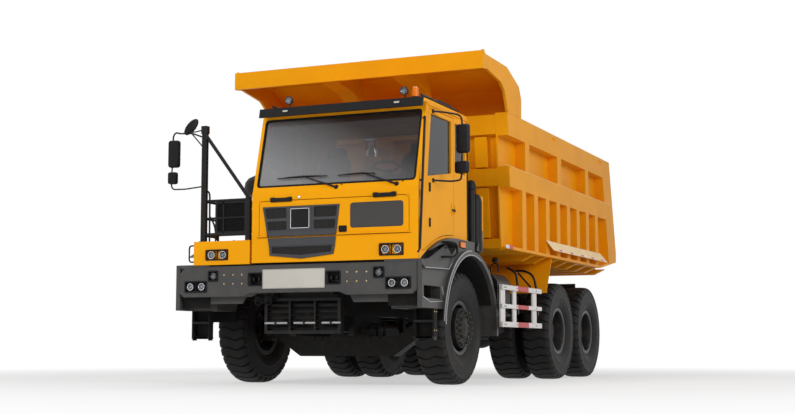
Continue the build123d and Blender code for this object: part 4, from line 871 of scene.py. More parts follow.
def lamp_unit(name, x, z, face_y, count, radius, back):
    """One or two round lamps in a black frame between two X and two Z. The frame is a rounded ring with a
    backing deep behind it, and each lamp is a rim, a bowl and a dome on the same axis."""
    (x0, x1), (z0, z1) = sorted(x), z
    middle, spread = (x0 + x1) / 2, (x1 - x0) * 0.25
    places = (middle,) if count == 1 else (middle - spread, middle + spread)
    centres = [(lamp_x, face_y + 0.003, (z0 + z1) / 2) for lamp_x in places]
    outer, inner = framed((x0, z0), (x1, z1), 0.016, 0.022)
    rim_section = np.array([(-0.004, 0.96), (0.008, 0.98), (0.008, 1.12), (-0.004, 1.14),
                            (-0.004, 0.96)]) * (1, radius)
    screws = [bolt((screw_x, face_y - 0.005, screw_z), 0.006)
              for screw_x in (x0 + SCREW_INSET, x1 - SCREW_INSET)
              for screw_z in (z0 + SCREW_INSET, z1 - SCREW_INSET)]
    rims = join(*[turned(rim_section, c, sides=28) for c in centres])
    parts = [(front_ring(outer, inner, face_y + 0.002, 0.014), black_plastic),
             (front_plate(inner, face_y + LAMP_DEPTH, 0.004), back),
             (rims, black_plastic if count == 1 else chrome),
             (join(*[bowl(c, radius) for c in centres]), silver),
             (join(*[dome(c, radius) for c in centres]), lens),
             (join(*screws), steel)]
    if count > 1:
        divider = bar((middle - 0.003, face_y - 0.002, z0 + 0.01),
                      (middle + 0.003, face_y + 0.02, z1 - 0.01), 0.001)
        parts.append((divider, black_plastic))
    return piece(name, "chassis", "lamp", *parts)


# %% [markdown]
# Six units share that recipe. Those on the bumper come in mirrored pairs, and the two headlamps lie in the
# yellow panels above it, whose paint shows around the bowls.

# %% Lamps of the bumper and the yellow panels
for side, sign in (("left", 1), ("right", -1)):
    lamp_unit(f"bumper_lamps_{side}", (sign * 1.27, sign * 1.61), (1.20, 1.35), BUMPER_Y, 2, 0.041,
              black_plastic)
    lamp_unit(f"fog_lamp_{side}", (sign * 1.105, sign * 1.255), (1.34, 1.48), BUMPER_Y, 1, 0.046,
              black_plastic)
lamp_unit("cab_headlamp", (1.177, 1.506), (1.613, 1.765), CAB_Y, 2, 0.044, yellow)
headlamp = lamp_unit("platform_headlamp", (-1.308, -0.968), (1.615, 1.756), CAB_Y, 2, 0.044, yellow)
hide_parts("lamps")

# %% [markdown]
# On the roof stand two round work lamps, each a shell on a short post, and an amber beacon whose lens has
# rings moulded into it: its profile swings in and out by a millimetre and a half.

# %% Work lamps and beacon on the roof
roof_skin = CAB_HIGH[2] + 0.06
work_z = roof_skin + 0.105
shells, bowls, lenses = [], [], []
for lamp_x in (-0.25, 1.39):
    centre = (lamp_x, -4.09, work_z)
    shells.append(turned([(-0.075, 0), (-0.072, 0.028), (-0.05, 0.045), (-0.02, 0.054), (0.004, 0.056),
                          (0.007, 0.052), (0.004, 0.047), (-0.012, 0.046)], centre, sides=28))
    shells.append(pipe([(lamp_x, -4.05, roof_skin - 0.004), (lamp_x, -4.05, work_z - 0.04)], 0.009))
    base = [(0, 0), (0, 0.03), (0.006, 0.03), (0.009, 0.02), (0.009, 0)]
    shells.append(turned(base, (lamp_x, -4.05, roof_skin), (0, 0, 1)))
    bowls.append(bowl((lamp_x, -4.094, work_z), 0.044))
    lenses.append(dome((lamp_x, -4.094, work_z), 0.045))
piece("work_lamps", "chassis", "lamp", (join(*shells), black_plastic), (join(*bowls), silver),
      (join(*lenses), lens))
beacon_at = (1.50, -3.98, roof_skin)
ribs = [(0.045 + 0.012 * k, 0.046 - 0.001 * k + (0.0015 if k % 2 else 0)) for k in range(10)]
beacon_lens = [(0.04, 0), (0.04, 0.046)] + ribs + [(0.162, 0.03), (0.168, 0.012), (0.169, 0)]
beacon_foot = [(-0.002, 0), (-0.002, 0.052), (0.03, 0.052), (0.04, 0.048), (0.04, 0)]
piece("beacon", "chassis", "lamp", (turned(beacon_lens, beacon_at, (0, 0, 1), 32), amber),
      (turned(beacon_foot, beacon_at, (0, 0, 1), 32), black_plastic))

# %% [markdown]
# ## Windscreen, wipers and visor
# The glass is a construction piece. Its printed black border is a ring plate in the plane of the glass,
# which leans back, so the ring is built along the screen's own two directions instead of the world's.

# %% Border of the windscreen
FOOT = np.array([0, CAB_Y + 0.030, 2.540])
HEAD = np.array([0, CAB_Y + 0.260, CAB_HIGH[2] - 0.09])
screen_up = (HEAD - FOOT) / np.linalg.norm(HEAD - FOOT)
screen_out = np.cross((1, 0, 0), screen_up)
screen_height = np.linalg.norm(HEAD - FOOT)
glass_x = (CAB_RIGHT + 0.055, CAB_LEFT - 0.055)
screen_outer, screen_inner = framed((glass_x[0], 0.0), (glass_x[1], screen_height), 0.022, 0.05)
border = ring_plate(screen_outer, screen_inner, 0.003, FOOT - screen_out * 0.0125, (1, 0, 0), screen_up,
                    0.001)
seal_low, seal_high = (glass_x[0] - 0.010, -0.008), (glass_x[1] + 0.010, screen_height + 0.006)
seal_outer, seal_inner = framed(seal_low, seal_high, 0.018, 0.05)
seal = ring_plate(seal_outer, seal_inner, 0.012, FOOT + screen_out * -0.010, (1, 0, 0), screen_up, 0.002)
piece("windscreen_border", "chassis", "black_plastic", (border, black_plastic), (seal, liner))

# %% [markdown]
# A wiper is an arm from its pivot to the middle of a blade that lies just off the glass. Points on the
# glass come from one function of X and Z, so arms and blades follow its lean. Above, the visor has two
# marker lamps.

# %% Wipers, nozzles and visor lamps
def on_glass(x, z, proud):
    """A point in front of the windscreen at (x, z)."""
    share = (z - FOOT[2]) / (HEAD[2] - FOOT[2])
    return FOOT + (HEAD - FOOT) * share + (x, 0, 0) + screen_out * proud


parts = []
for pivot_x, tip_x, blade in ((0.578, 0.089, (-0.276, 0.438)), (1.407, 0.929, (0.589, 1.097))):
    pivot = np.array((pivot_x, CAB_Y + 0.012, 2.49))
    tip = on_glass(tip_x, 2.652, 0.03)
    parts.append(turned([(0, 0), (0, 0.032), (0.022, 0.03), (0.032, 0.02), (0.034, 0)],
                        pivot + (0, 0.02, 0), screen_out))
    elbow = pivot + (tip - pivot) * 0.3 + screen_out * 0.012
    parts.append(tube([pivot + screen_out * 0.01, elbow, tip], [0.014, 0.010, 0.006], 8))
    ends = [on_glass(blade[0], 2.642, 0.014), on_glass(blade[1], 2.644, 0.014)]
    parts.append(tube(ends, 0.007, 8))
    rest, reach = screen_out * 0.014, np.array([0.1, 0, 0])
    parts.append(tube([ends[0] + rest + reach, tip, ends[1] + rest - reach], 0.006, 8))
    for share in (0.15, 0.5, 0.85):
        foot = ends[0] + (ends[1] - ends[0]) * share
        parts.append(tube([foot, foot + screen_out * 0.016], 0.005, 6))
for nozzle_x in (0.653, 1.488):
    parts.append(tube([(nozzle_x, CAB_Y + 0.03, 2.515), (nozzle_x, CAB_Y + 0.014, 2.53),
                       (nozzle_x - 0.008, CAB_Y + 0.022, 2.545)], 0.007, 8))
piece("wipers", "chassis", "black_plastic", (join(*parts), black_plastic))
visor_up = np.array([0, 0.025, 0.115])
visor_foot = np.array([0, -4.26, CAB_HIGH[2] - 0.07])
markers, glow = [], []
for marker_x in (-0.217, 1.359):
    outer, inner = framed((marker_x - 0.045, 0.045), (marker_x + 0.045, 0.085), 0.007, 0.016)
    markers.append(ring_plate(outer, inner, 0.010, visor_foot, (1, 0, 0), visor_up))
    glow.append(plate(inner, 0.007, visor_foot, (1, 0, 0), visor_up))
piece("visor_lamps", "chassis", "lamp", (join(*markers), black_plastic), (join(*glow), plate_white))

# %% [markdown]
# ## Bumper fittings
# The bumper is one folded steel channel. On it sit a blank plate in a thin frame, two groups of six bolts
# and the black surrounds of the tow pockets, with a jaw deep in each for the tow pin.

# %% Plate, bolts and tow pockets
outer, inner = framed((-0.445, 1.23), (0.445, 1.48), 0.008, 0.01)
number_plate = front_plate(inner, BUMPER_Y, 0.006)
plate_frame = front_ring(outer, inner, BUMPER_Y, 0.009)
bolt_places = [(x, BUMPER_Y, z) for x in (0.75, 0.88, 1.015) for z in (1.42, 1.305)]
bolt_head = bolt((0, 0, 0), 0.009)
brass = coating("zinc_yellow", colour(214, 186, 140), 0.3, metallic=0.8, dust=0.1, grain=(500, 0.0003))
outer, inner = framed((0.448, 1.27), (0.662, 1.443), 0.014, 0.02)
pocket = mirrored(front_ring(outer, inner, BUMPER_Y, 0.008))
jaw = mirrored(join(bar((0.47, BUMPER_Y + 0.10, 1.29), (0.64, BUMPER_Y + 0.155, 1.42), 0.01),
                    bar((0.50, BUMPER_Y + 0.03, 1.33), (0.53, BUMPER_Y + 0.12, 1.385), 0.008),
                    bar((0.58, BUMPER_Y + 0.03, 1.33), (0.61, BUMPER_Y + 0.12, 1.385), 0.008)))
piece("bumper_fittings", "chassis", "grey_paint", (number_plate, plate_white), (plate_frame, steel),
      (mirrored(copies(bolt_head, bolt_places)), brass), (join(pocket, jaw), black))

# %% [markdown]
# ## Hatch furniture and roof edge
# Small parts break up the plain face of the cab: black covers on the hatch's two hinges, a yellow ledge on
# both sides of the grille, fillers behind the hatch's rounded corners, a roof handle and a gutter. Each is
# a turned profile, a bent pipe or a bevelled plate.

# %% Hatch furniture and roof handle
hatch_x = (CAB_RIGHT + 0.110, CAB_LEFT - 0.125)
ledge_z = (HATCH_FOOT - 0.002, HATCH_FOOT + 0.020)
ledge_rows = [  # X at the foot's two ends, X at the top's two ends
    ((hatch_x[0] - 0.03, grille_end(HATCH_FOOT, 0) - 0.004),
     (hatch_x[0] - 0.025, grille_end(HATCH_FOOT, 0) - 0.008)),
    ((grille_end(HATCH_FOOT, 1) + 0.004, hatch_x[1] + 0.035),
     (grille_end(HATCH_FOOT, 1) + 0.008, hatch_x[1] + 0.03)),
]
ledges = []
for (foot_0, foot_1), (top_0, top_1) in ledge_rows:
    ledge_outline = [(foot_0, ledge_z[0]), (foot_1, ledge_z[0]), (top_1, ledge_z[1]), (top_0, ledge_z[1])]
    ledges.append(front_plate(ledge_outline, CAB_Y, 0.022, 0.006))
piece("hatch_ledge", "front_hatch", "yellow_paint", (join(*ledges), yellow))
arc = np.linspace(0, math.pi / 2, 8)
corner_radius, corner_gap = 0.07, 0.0045
corners = []
for end, side in zip(hatch_x, (-1, 1)):
    centre_x, centre_z, reach = end - side * corner_radius, HATCH_FOOT + 0.39, corner_radius + corner_gap
    bow = np.stack([centre_x + side * reach * np.cos(arc), centre_z + reach * np.sin(arc)], axis=1)
    tip = [(end + side * corner_gap, centre_z + reach)]
    corners.append(front_plate(np.vstack([bow, tip]), CAB_Y + 0.02, 0.02, 0.0005))
piece("hatch_corners", "chassis", "yellow_paint", (join(*corners), yellow))
covers = []
for x0, x1 in ((CAB_RIGHT + 0.276, CAB_RIGHT + 0.576), (CAB_LEFT - 0.598, CAB_LEFT - 0.296)):
    length = x1 - x0
    half = [(-0.004, 0), (-0.004, 0.018), (0.004, 0.0232), (0.055, 0.0232), (0.066, 0.015)]
    other_half = [(length - along, radius) for along, radius in half[::-1]]
    covers.append(turned(half + other_half, (x0, CAB_Y - 0.0045, HATCH_FOOT + 0.486), (1, 0, 0), 20))
piece("hinge_covers", "chassis", "black_plastic", (join(*covers), black_plastic))
rail_x = CAB_LEFT - 0.10
roof_z = span("cab_roof")[1][2] + 0.012
handle = pipe([(rail_x, -3.60, roof_z - 0.03), (rail_x, -3.533, roof_z + 0.06),
               (rail_x, -3.018, roof_z + 0.06), (rail_x, -2.95, roof_z - 0.03)], 0.014, 0.06)
gutter = left_plate(rectangle((-4.06, CAB_HIGH[2] - 0.035), (CAB_REAR + 0.01, CAB_HIGH[2] - 0.012)),
                    CAB_LEFT, 0.018, 0.005)
piece("roof_handle", "chassis", "black_plastic", (handle, black_plastic))
piece("cab_gutter", "chassis", "yellow_paint", (gutter, yellow))

# %% [markdown]
# ## Painted highlight and shadow of the bumper
# The bumper is folded steel. A lighter grey strip along its top edge, and a short one at its right end, are a
# painted highlight. Dark sheets in the gap between bumper and cab, and dark plates before the wheels, are
# painted shadow. Two horns hang below. All are bevelled bars, apart from the horns, whose bells are turned.

# %% Painted highlight strip, shadow sheets and horns
# painted highlight: a lighter grey strip along the bumper's top edge, and one at its right end
top_highlight_strip = bar((-1.68, BUMPER_Y, 1.522), (1.68, BUMPER_Y + 0.03, 1.533), 0.004)
highlight_strip_paint = coating("bumper_highlight_grey", colour(112, 113, 116), 0.35, coat=0.2, dust=0.05)
# painted shadow: dark plates before the wheels and dark sheets in the gap between bumper and cab
shade_plates = mirrored(join(bar((1.27, -4.06, 0.98), (1.74, -4.05, 1.42), 0.002),
                       bar((1.27, -4.31, 1.00), (1.745, -4.30, 1.16), 0.002)))
SHADOW_SHEET_FRONT, SHADOW_SHEET_BACK = -4.335, -4.325
sheet = bar((-0.60, SHADOW_SHEET_FRONT, 1.40), (1.25, SHADOW_SHEET_BACK, 1.600), 0.002)
side_shadow_sheet = bar((-1.47, SHADOW_SHEET_FRONT, 1.45), (-0.60, SHADOW_SHEET_BACK, 1.556), 0.002)
corner = bar((-1.715, SHADOW_SHEET_FRONT, 1.440), (-1.56, SHADOW_SHEET_BACK, 1.530), 0.002)
piece("bumper_highlight_and_shadow", "chassis", "grey_paint", (join(top_highlight_strip, corner), highlight_strip_paint),
      (join(sheet, side_shadow_sheet, shade_plates), liner))
horns = []
bell = [(-0.11, 0), (-0.11, 0.018), (-0.05, 0.02), (-0.02, 0.035), (0.0, 0.055), (0.006, 0.058),
        (0.006, 0.050), (-0.03, 0.015), (-0.03, 0)]
for horn_x in (-0.60, -0.45):
    horns.append(turned(bell, (horn_x, -4.22, 1.085), sides=24))
    horns.append(pipe([(horn_x, -4.28, 1.09), (horn_x, -4.28, 1.17)], 0.008))
piece("horns", "chassis", "black_plastic", (join(*horns), black_plastic))

# %% [markdown]
# ## The platform side
# The truck's right front corner carries a service platform with a tall mirror pole. A mirror head is a
# stack of rounded rectangles, which swell quickly from the front and then run almost straight to the glass.

# %% Mirror heads
def mirror_head(centre, size, depth, turn):
    """A rounded housing and its mirror glass: rings along +Y from the housing's front to the glass behind,
    all turned about Z. Each step is (share of the depth, share of the width, share of the height)."""
    steps = ((0.0, 0.55, 0.75), (0.12, 0.85, 0.92), (0.35, 0.97, 0.985), (0.8, 1.0, 1.0), (1.0, 0.985, 0.99),
             (1.0, 0.93, 0.96), (0.92, 0.92, 0.955))
    rings = []
    for share, wide, tall in steps:
        flat = rounded(size[0] * wide, size[1] * tall, min(size) * 0.22 * wide, 5)
        rings.append(np.stack([flat[:, 0], np.full(len(flat), (share - 0.5) * depth), flat[:, 1]], axis=1))
    shell = stack(rings[::-1])
    flat = rounded(size[0] * 0.92, size[1] * 0.955, min(size) * 0.2, 5)
    level = np.full(len(flat), 0.42 * depth)
    face = stack([np.stack([flat[:, 0] * k, level, flat[:, 1] * k], axis=1) for k in (1.0, 0.5)])
    cos, sin = math.cos(turn), math.sin(turn)
    spin = np.array([[cos, -sin, 0], [sin, cos, 0], [0, 0, 1]])
    return [(part[0] @ spin.T + np.array(centre), *part[1:]) for part in (shell, face)]


# %% [markdown]
# The pole and the fence's uprights are square tube, and the rails between them round tube, so they are
# stacks of rounded squares and circles on a path. The panel is a frame with wire mesh before a dark sheet.

# %% Pole, fence and mesh panel of the platform
PX0, PX1 = CAB_RIGHT - 0.75, CAB_RIGHT - 0.08
FENCE_Y = CAB_Y + 0.047
DECK = span("platform_box")[1][2]
POLE_TOP = span("platform_rails")[1][2]


def post(x, y, low, high, half, radius=0.012):
    """An upright of rounded square tube."""
    outline = rounded(2 * half, 2 * half, radius, 3, (x, y))
    return stack([np.column_stack([outline, np.full(len(outline), z)]) for z in (low, high)])


parts = [post(PX0, FENCE_Y, DECK, POLE_TOP - 0.005, 0.036),
         post(PX0, FENCE_Y, POLE_TOP - 0.10, POLE_TOP, 0.044),
         post(PX1, FENCE_Y, DECK, 2.43, 0.034),
         post(PX0, FENCE_Y + 0.33, DECK, 2.42, 0.024),
         tube([(PX0 + 0.02, FENCE_Y, 3.27), (PX1, FENCE_Y, 2.42)], 0.024)]
for rail_z, radius in ((2.400, 0.018), (2.170, 0.014), (1.955, 0.024)):
    parts.append(tube([(PX0, FENCE_Y, rail_z), (PX1, FENCE_Y, rail_z)], radius))
    parts.append(tube([(PX0, FENCE_Y, rail_z), (PX0, FENCE_Y + 0.33, rail_z)], radius))
parts.append(pipe([(PX0, FENCE_Y + 0.02, 2.55), (PX0 + 0.07, FENCE_Y + 0.02, 2.52),
                   (PX0 + 0.075, FENCE_Y + 0.02, DECK)], 0.012, 0.07))
parts.append(pipe([(PX0 + 0.08, FENCE_Y + 0.01, 2.20), (PX0 + 0.17, FENCE_Y + 0.01, 2.06),
                   (PX0 + 0.175, FENCE_Y + 0.01, DECK)], 0.012, 0.10))
mesh_low, mesh_high = (PX0 + 0.18, 1.965), (PX1 - 0.03, 2.385)
outer, inner = framed(mesh_low, mesh_high, 0.028, 0.02)
parts.append(front_ring(outer, inner, FENCE_Y + 0.008, 0.02))
parts.append(bar((PX0 + 0.29, FENCE_Y - 0.012, mesh_low[1]), (PX0 + 0.31, FENCE_Y + 0.004, mesh_high[1]),
                 0.002))
panel_mesh = front_mesh(mesh_low, mesh_high, FENCE_Y + 0.004, 0.011, 0.0062)
dark_sheet = front_plate(inner, FENCE_Y + 0.014, 0.004)
piece("platform_frame", "chassis", "black_paint", (join(*parts), black), (dark_sheet, liner),
      (panel_mesh, black_plastic), replaces=["platform_rails"])

# %% [markdown]
# Bent arms reach from the pole to a long mirror and a wide-angle one, and hold an oval kerb mirror that
# looks down. The oval leans, so it is built along three directions of its own. A grip to climb by and the
# deck's bolts come last.

# %% Mirrors and grip of the platform
MIRROR_Y = -4.06
arms = [pipe([(PX0, FENCE_Y, 3.245), (-1.66, -4.19, 3.345), (-1.933, MIRROR_Y, 3.378),
              (-2.005, MIRROR_Y, 3.40), (-2.045, MIRROR_Y, 3.35), (-2.045, MIRROR_Y, 3.28)], 0.011, 0.06),
        pipe([(PX0, FENCE_Y, 3.36), (-1.60, -4.20, 3.36), (-1.80, -4.12, 3.375), (-1.92, MIRROR_Y, 3.375)],
             0.009, 0.04),
        tube([(PX0, FENCE_Y, 3.09), (-1.66, -4.19, 3.335)], 0.009),
        pipe([(PX0, FENCE_Y, 2.602), (-1.78, -4.16, 2.60), (-2.029, MIRROR_Y, 2.618),
              (-2.062, MIRROR_Y, 2.66), (-2.060, MIRROR_Y, 2.74)], 0.010, 0.05),
        tube([(-2.058, MIRROR_Y, 2.84), (-2.052, MIRROR_Y, 2.94)], 0.010)]
main_shell, main_glass = mirror_head((-2.030, MIRROR_Y, 3.105), (0.165, 0.375), 0.07, 0.12)
wide_shell, wide_glass = mirror_head((-2.046, MIRROR_Y, 2.775), (0.135, 0.165), 0.065, 0.12)
turn = np.linspace(0, 2 * math.pi, 33)[:-1]
oval = np.stack([0.062 * np.cos(turn), 0.135 * np.sin(turn)], axis=1)
lean_axis = np.array([0.48, 0.35, 0.80]) / np.linalg.norm([0.48, 0.35, 0.80])
flat_axis = np.cross(lean_axis, np.cross((0.3, -0.9, -0.3), lean_axis))
across_axis = np.cross(lean_axis, flat_axis / np.linalg.norm(flat_axis))
down = np.cross(across_axis, lean_axis)
oval_plane = oval[:, :1] * across_axis + oval[:, 1:] * lean_axis
oval_rings = [np.array([-1.715, -4.13, 3.445]) + oval_plane * wide + down * high
              for wide, high in ((0.3, 0.028), (0.7, 0.022), (0.95, 0.008), (1.0, 0.0), (0.96, -0.006),
                                 (0.5, -0.006))]
mirror_glass = coating("mirror_glass", colour(206, 212, 218), 0.06, metallic=1.0, dust=0.02,
                       grain=(40, 0.00005))
oval_shell = stack(oval_rings)
piece("right_mirrors", "chassis", "black_plastic", (join(*arms), black),
      (join(main_shell, wide_shell), black_plastic), (join(main_glass, wide_glass), mirror_glass),
      (oval_shell, black_plastic))
grip = pipe([(-1.49, -4.30, 1.82), (-1.585, -4.30, 1.822), (-1.605, -4.30, 1.80), (-1.605, -4.30, 1.63),
             (-1.585, -4.30, 1.605), (-1.49, -4.30, 1.607)], 0.010, 0.03)
deck_places = [(x, y, DECK) for x in (-1.44, -1.18, -0.92, -0.74) for y in (-4.32, -4.10)]
deck_bolts = copies(bolt((0, 0, 0), 0.012, (0, 0, 1)), deck_places)
piece("platform_grip", "chassis", "black_plastic", (grip, black_plastic), (deck_bolts, steel))

# %% [markdown]
# Behind the platform stands the air cleaner: a canister with a pre-cleaner on a narrow neck, held by two
# steel straps. Canister and mushroom head are one turned profile, measured up from the deck.

# %% Air cleaner
cleaner_foot = (-1.25, -2.99, DECK)
canister = np.array([(DECK, 0.0), (DECK, 0.150), (DECK + 0.02, 0.160), (2.20, 0.160), (2.205, 0.165),
                     (2.235, 0.165), (2.24, 0.160), (2.52, 0.158), (2.56, 0.135), (2.575, 0.075),
                     (2.600, 0.072), (2.605, 0.20), (2.640, 0.245), (2.720, 0.258), (2.790, 0.245),
                     (2.850, 0.20), (2.890, 0.12), (2.900, 0.0)])
strap = np.array([(0.0, 0.160), (0.0, 0.166), (0.03, 0.166), (0.03, 0.160), (0.0, 0.160)])
straps = join(*[turned(strap + (z - DECK, 0), cleaner_foot, (0, 0, 1), 40) for z in (2.05, 2.40)])
piece("air_cleaner_cap", "chassis", "black_plastic",
      (turned(canister - (DECK, 0), cleaner_foot, (0, 0, 1), 40), black_plastic), (straps, steel),
      replaces=["air_cleaner"])

# %% [markdown]
# ## The driver's side
# On the left hang the second pair of mirrors, the door's handle, the dark seal behind the cab, and the
# pipes that draw in air: all tubes, turned shapes and bevelled plates.

# %% Mirrors on the driver's side
LEFT_Y = -3.70
high_root, low_root = (CAB_LEFT, -3.89, 3.455), (CAB_LEFT, -3.89, 2.575)
arms = [pipe([high_root, (1.813, -3.80, 3.450), (1.97, LEFT_Y, 3.425), (2.02, LEFT_Y, 3.38),
              (2.022, LEFT_Y, 3.25)], 0.012, 0.05),
        pipe([low_root, (1.90, -3.74, 2.570), (1.995, LEFT_Y, 2.585), (2.012, LEFT_Y, 2.62),
              (2.012, LEFT_Y, 2.72)], 0.012, 0.05),
        tube([(2.018, LEFT_Y, 2.80), (2.022, LEFT_Y, 2.96)], 0.011)]
rosette = [(0, 0), (0, 0.03), (0.012, 0.028), (0.02, 0.014), (0.02, 0)]
arms += [turned(rosette, root, (1, 0, 0), 16) for root in (high_root, low_root)]
main_shell, main_glass = mirror_head((2.028, LEFT_Y, 3.115), (0.178, 0.375), 0.075, -0.10)
wide_shell, wide_glass = mirror_head((2.012, LEFT_Y, 2.750), (0.190, 0.155), 0.07, -0.10)
piece("left_mirrors", "door_left", "black_plastic", (join(*arms), black),
      (join(main_shell, wide_shell), black_plastic), (join(main_glass, wide_glass), mirror_glass),
      replaces=["mirror_left"])

# %% [markdown]
# Each door has a raised frame with a grip across it and two black hinges at its front edge. One function
# builds them for the left and reflects them for the right, at the distance of that side's door.

# %% Door handles and hinges
def pull(side):
    """The frame, the grip, 2 cm proud of the door, and the hinges of one side."""
    x = CAB_LEFT if side > 0 else -CAB_RIGHT
    outer, inner = framed((-3.262, 2.19), (-3.137, 2.35), 0.02, 0.035)
    ring = ring_plate(outer, inner, 0.008, (x, 0, 0), (0, 1, 0), (0, 0, 1))
    grip = bar((x + 0.004, -3.250, 2.245), (x + 0.022, -3.150, 2.275), 0.006)
    barrel = np.array([(0, 0), (0, 0.014), (0.11, 0.014), (0.11, 0)])
    hinges = join(*[turned(barrel, (x + 0.008, -4.015, z), (0, 0, 1), 12) for z in (1.98, 2.42)])
    return [(part[0] * (side, 1, 1), *part[1:]) for part in (ring, grip, hinges)]


for side, body in ((1, "door_left"), (-1, "door_right")):
    ring, grip, hinges = pull(side)
    piece(body + "_handle", body, "yellow_paint", (ring, yellow), (grip, black_plastic),
          (hinges, black_plastic))

# %% [markdown]
# Between cab and body rise two black pipes: the intake with a rounded hood, and the wider exhaust with a
# rounded top. Both bend inwards at the foot. A seal closes the cab's rear edge, and a slim yellow box with
# louvres stands behind the pipes on a black foot.

# %% Seals, pipes and side panel behind the cab
seal_foot, seal_head = (CAB_REAR - 0.03, CAB_LOW[2] + 0.35), (CAB_REAR + 0.004, CAB_HIGH[2] - 0.05)
seal = left_plate(rectangle(seal_foot, seal_head), CAB_LEFT - 0.004, 0.012, 0.004)
other_seal = (seal[0] * (-1, 1, 1) + (CAB_LEFT + CAB_RIGHT, 0, 0), *seal[1:])
piece("cab_seals", "chassis", "black_plastic", (join(seal, other_seal), liner))
INTAKE_X, INTAKE_Y, EXHAUST_X, EXHAUST_Y = 1.650, -2.395, 1.640, -2.195
intake_top = [(0, 0.052), (0.0, 0.066), (0.03, 0.074), (0.08, 0.068), (0.12, 0.045), (0.14, 0.0)]
intake = join(tube([(INTAKE_X, INTAKE_Y, 1.86), (INTAKE_X, INTAKE_Y, 2.62)], 0.052, 24),
              turned(intake_top, (INTAKE_X, INTAKE_Y, 2.62), (0, 0, 1), 28),
              pipe([(INTAKE_X, INTAKE_Y, 1.90), (INTAKE_X, INTAKE_Y, 1.74), (1.50, -2.45, 1.66),
                    (1.18, -2.45, 1.60)], 0.050, 0.12, 20))
band = [(0, 0.050), (0, 0.056), (0.02, 0.056), (0.02, 0.050)]
bands = join(*[turned(band, (INTAKE_X, INTAKE_Y, z), (0, 0, 1), 28) for z in (2.0, 2.45)])
silencer = [(1.80, 0.0), (1.80, 0.090), (2.48, 0.090), (2.55, 0.072), (2.58, 0.04), (2.585, 0.0)]
stack_pipe = join(turned(silencer, (EXHAUST_X, EXHAUST_Y, 0), (0, 0, 1), 28),
                  pipe([(EXHAUST_X, EXHAUST_Y, 1.86), (EXHAUST_X, EXHAUST_Y, 1.68), (1.45, EXHAUST_Y, 1.60),
                        (1.16, EXHAUST_Y, 1.56)], 0.060, 0.10, 20))
louvres = join(*[bar((1.658, -2.070, 2.02 + 0.13 * k), (1.664, -1.960, 2.11 + 0.13 * k), 0.003)
                 for k in range(4)])
panel = bar((1.56, -2.09, 1.94), (1.66, -1.94, 2.58), 0.012)
foot = join(bar((1.58, -2.07, 1.56), (1.62, -2.03, 1.95)), bar((1.14, -2.07, 1.54), (1.62, -2.03, 1.585)))
bracket = left_plate([(-2.10, 2.08), (-2.34, 1.83), (-2.34, 1.79), (-2.10, 1.79)], 1.70, 0.012, 0.003)
piece("intake_pipes", "chassis", "black_plastic", (join(intake, stack_pipe), black_plastic), (bands, black),
      (bracket, grey))
piece("side_panel", "chassis", "yellow_paint", (join(panel, louvres), yellow), (foot, black))

# %% [markdown]
# ## Fender, grab handle and steps
# The moulded fender has two raised ribs that follow the wheel arch. They are tubes along an arc, half sunk
# into the surface, in a light grey that paints a highlight on them. Light grey tubes on the driver's side are
# painted highlights along the edges of its ledges.

# %% Ribs and painted edge highlights of the fender
def arch_path(radius, start, end, x, count=18):
    """Points on a circle round the front axle, in the plane x, from one angle to another in degrees."""
    angles = np.radians(np.linspace(start, end, count))
    low, high = span("front_left_tyre")
    axle_y = (low[1] + high[1]) / 2
    return np.stack([np.full(count, x), axle_y + radius * np.cos(angles),
                     TYRE_RADIUS + radius * np.sin(angles)], axis=1)


FENDER_X = 1.80
ribs = join(tube(arch_path(1.012, 92, 176, FENDER_X - 0.002), 0.008, 8),
            tube(arch_path(0.958, 70, 178, FENDER_X - 0.002), 0.008, 8))
# light grey for the painted highlights on the fender's ribs and ledges, also used for the radiator's pipes
highlight_and_pipe_grey = coating("highlight_and_pipe_grey", colour(172, 172, 174), 0.4, coat=0.15, dust=0.08)
ledge_highlight_lines = join(tube([(1.798, -4.375, 1.455), (1.798, -3.600, 1.476), (1.798, -3.500, 1.550)], 0.006, 8),
                  tube([(1.752, -4.353, 1.108), (1.752, -4.126, 1.046), (1.752, -3.640, 1.068),
                        (1.752, -3.735, 1.255)], 0.007, 8))
piece("fender_rib_highlights", "chassis", "grey_paint", (join(mirrored(ribs), ledge_highlight_lines), highlight_and_pipe_grey))

# %% [markdown]
# On the fender's upper side are a dark grab handle, bent from one tube whose ends go into the panel behind
# it, and an amber marker lamp on a dark base. A ruled surface fills the fender's shoulder: straight lines
# join a bent foot line to a head line, which is resampled to as many points as the foot line has.

# %% Grab handle, marker lamp and shoulder
side_x, grab_x = FENDER_X - 0.05, 1.832
grab = pipe([(side_x - 0.02, -3.72, 1.808), (1.826, -3.69, 1.812), (grab_x, -3.494, 1.815),
             (grab_x, -3.405, 1.785), (grab_x, -3.385, 1.690), (grab_x, -3.535, 1.632),
             (1.826, -3.64, 1.628), (side_x - 0.02, -3.70, 1.626)], 0.014, 0.045, 10)
marker = bar((side_x - 0.002, -3.09, 1.786), (side_x + 0.018, -2.916, 1.859), 0.006)
marker_base = bar((side_x - 0.004, -3.10, 1.776), (side_x + 0.006, -2.906, 1.869), 0.003)
piece("foothold", "chassis", "black_plastic", (join(grab, marker_base), liner), (marker, amber))
foot_line = bent([(1.792, -4.375, 1.452), (1.792, -3.58, 1.474), (1.792, -3.42, 1.60)], 0.12, 8)
head_line = np.array([(1.704, -4.368, 1.548), (1.704, -4.05, 1.590), (1.704, -3.75, 1.700),
                      (1.704, -3.45, 1.810)])
share = np.linspace(0, 1, len(foot_line)) * (len(head_line) - 1)
head_line = np.stack([np.interp(share, np.arange(len(head_line)), column) for column in head_line.T], axis=1)
inward = np.array([0, 0, -0.006])
filler = grid(np.array([foot_line, head_line, head_line + inward, foot_line + inward, foot_line]))
piece("fender_shoulder", "chassis", "grey_paint", (filler, grey))

# %% [markdown]
# Dark panels close the back and the ends of the entry step, which is held by four brass bolts. The wheel
# arch is lined with a thin sheet: two arcs 6 mm apart, drawn in the side view and made as wide as the arch.

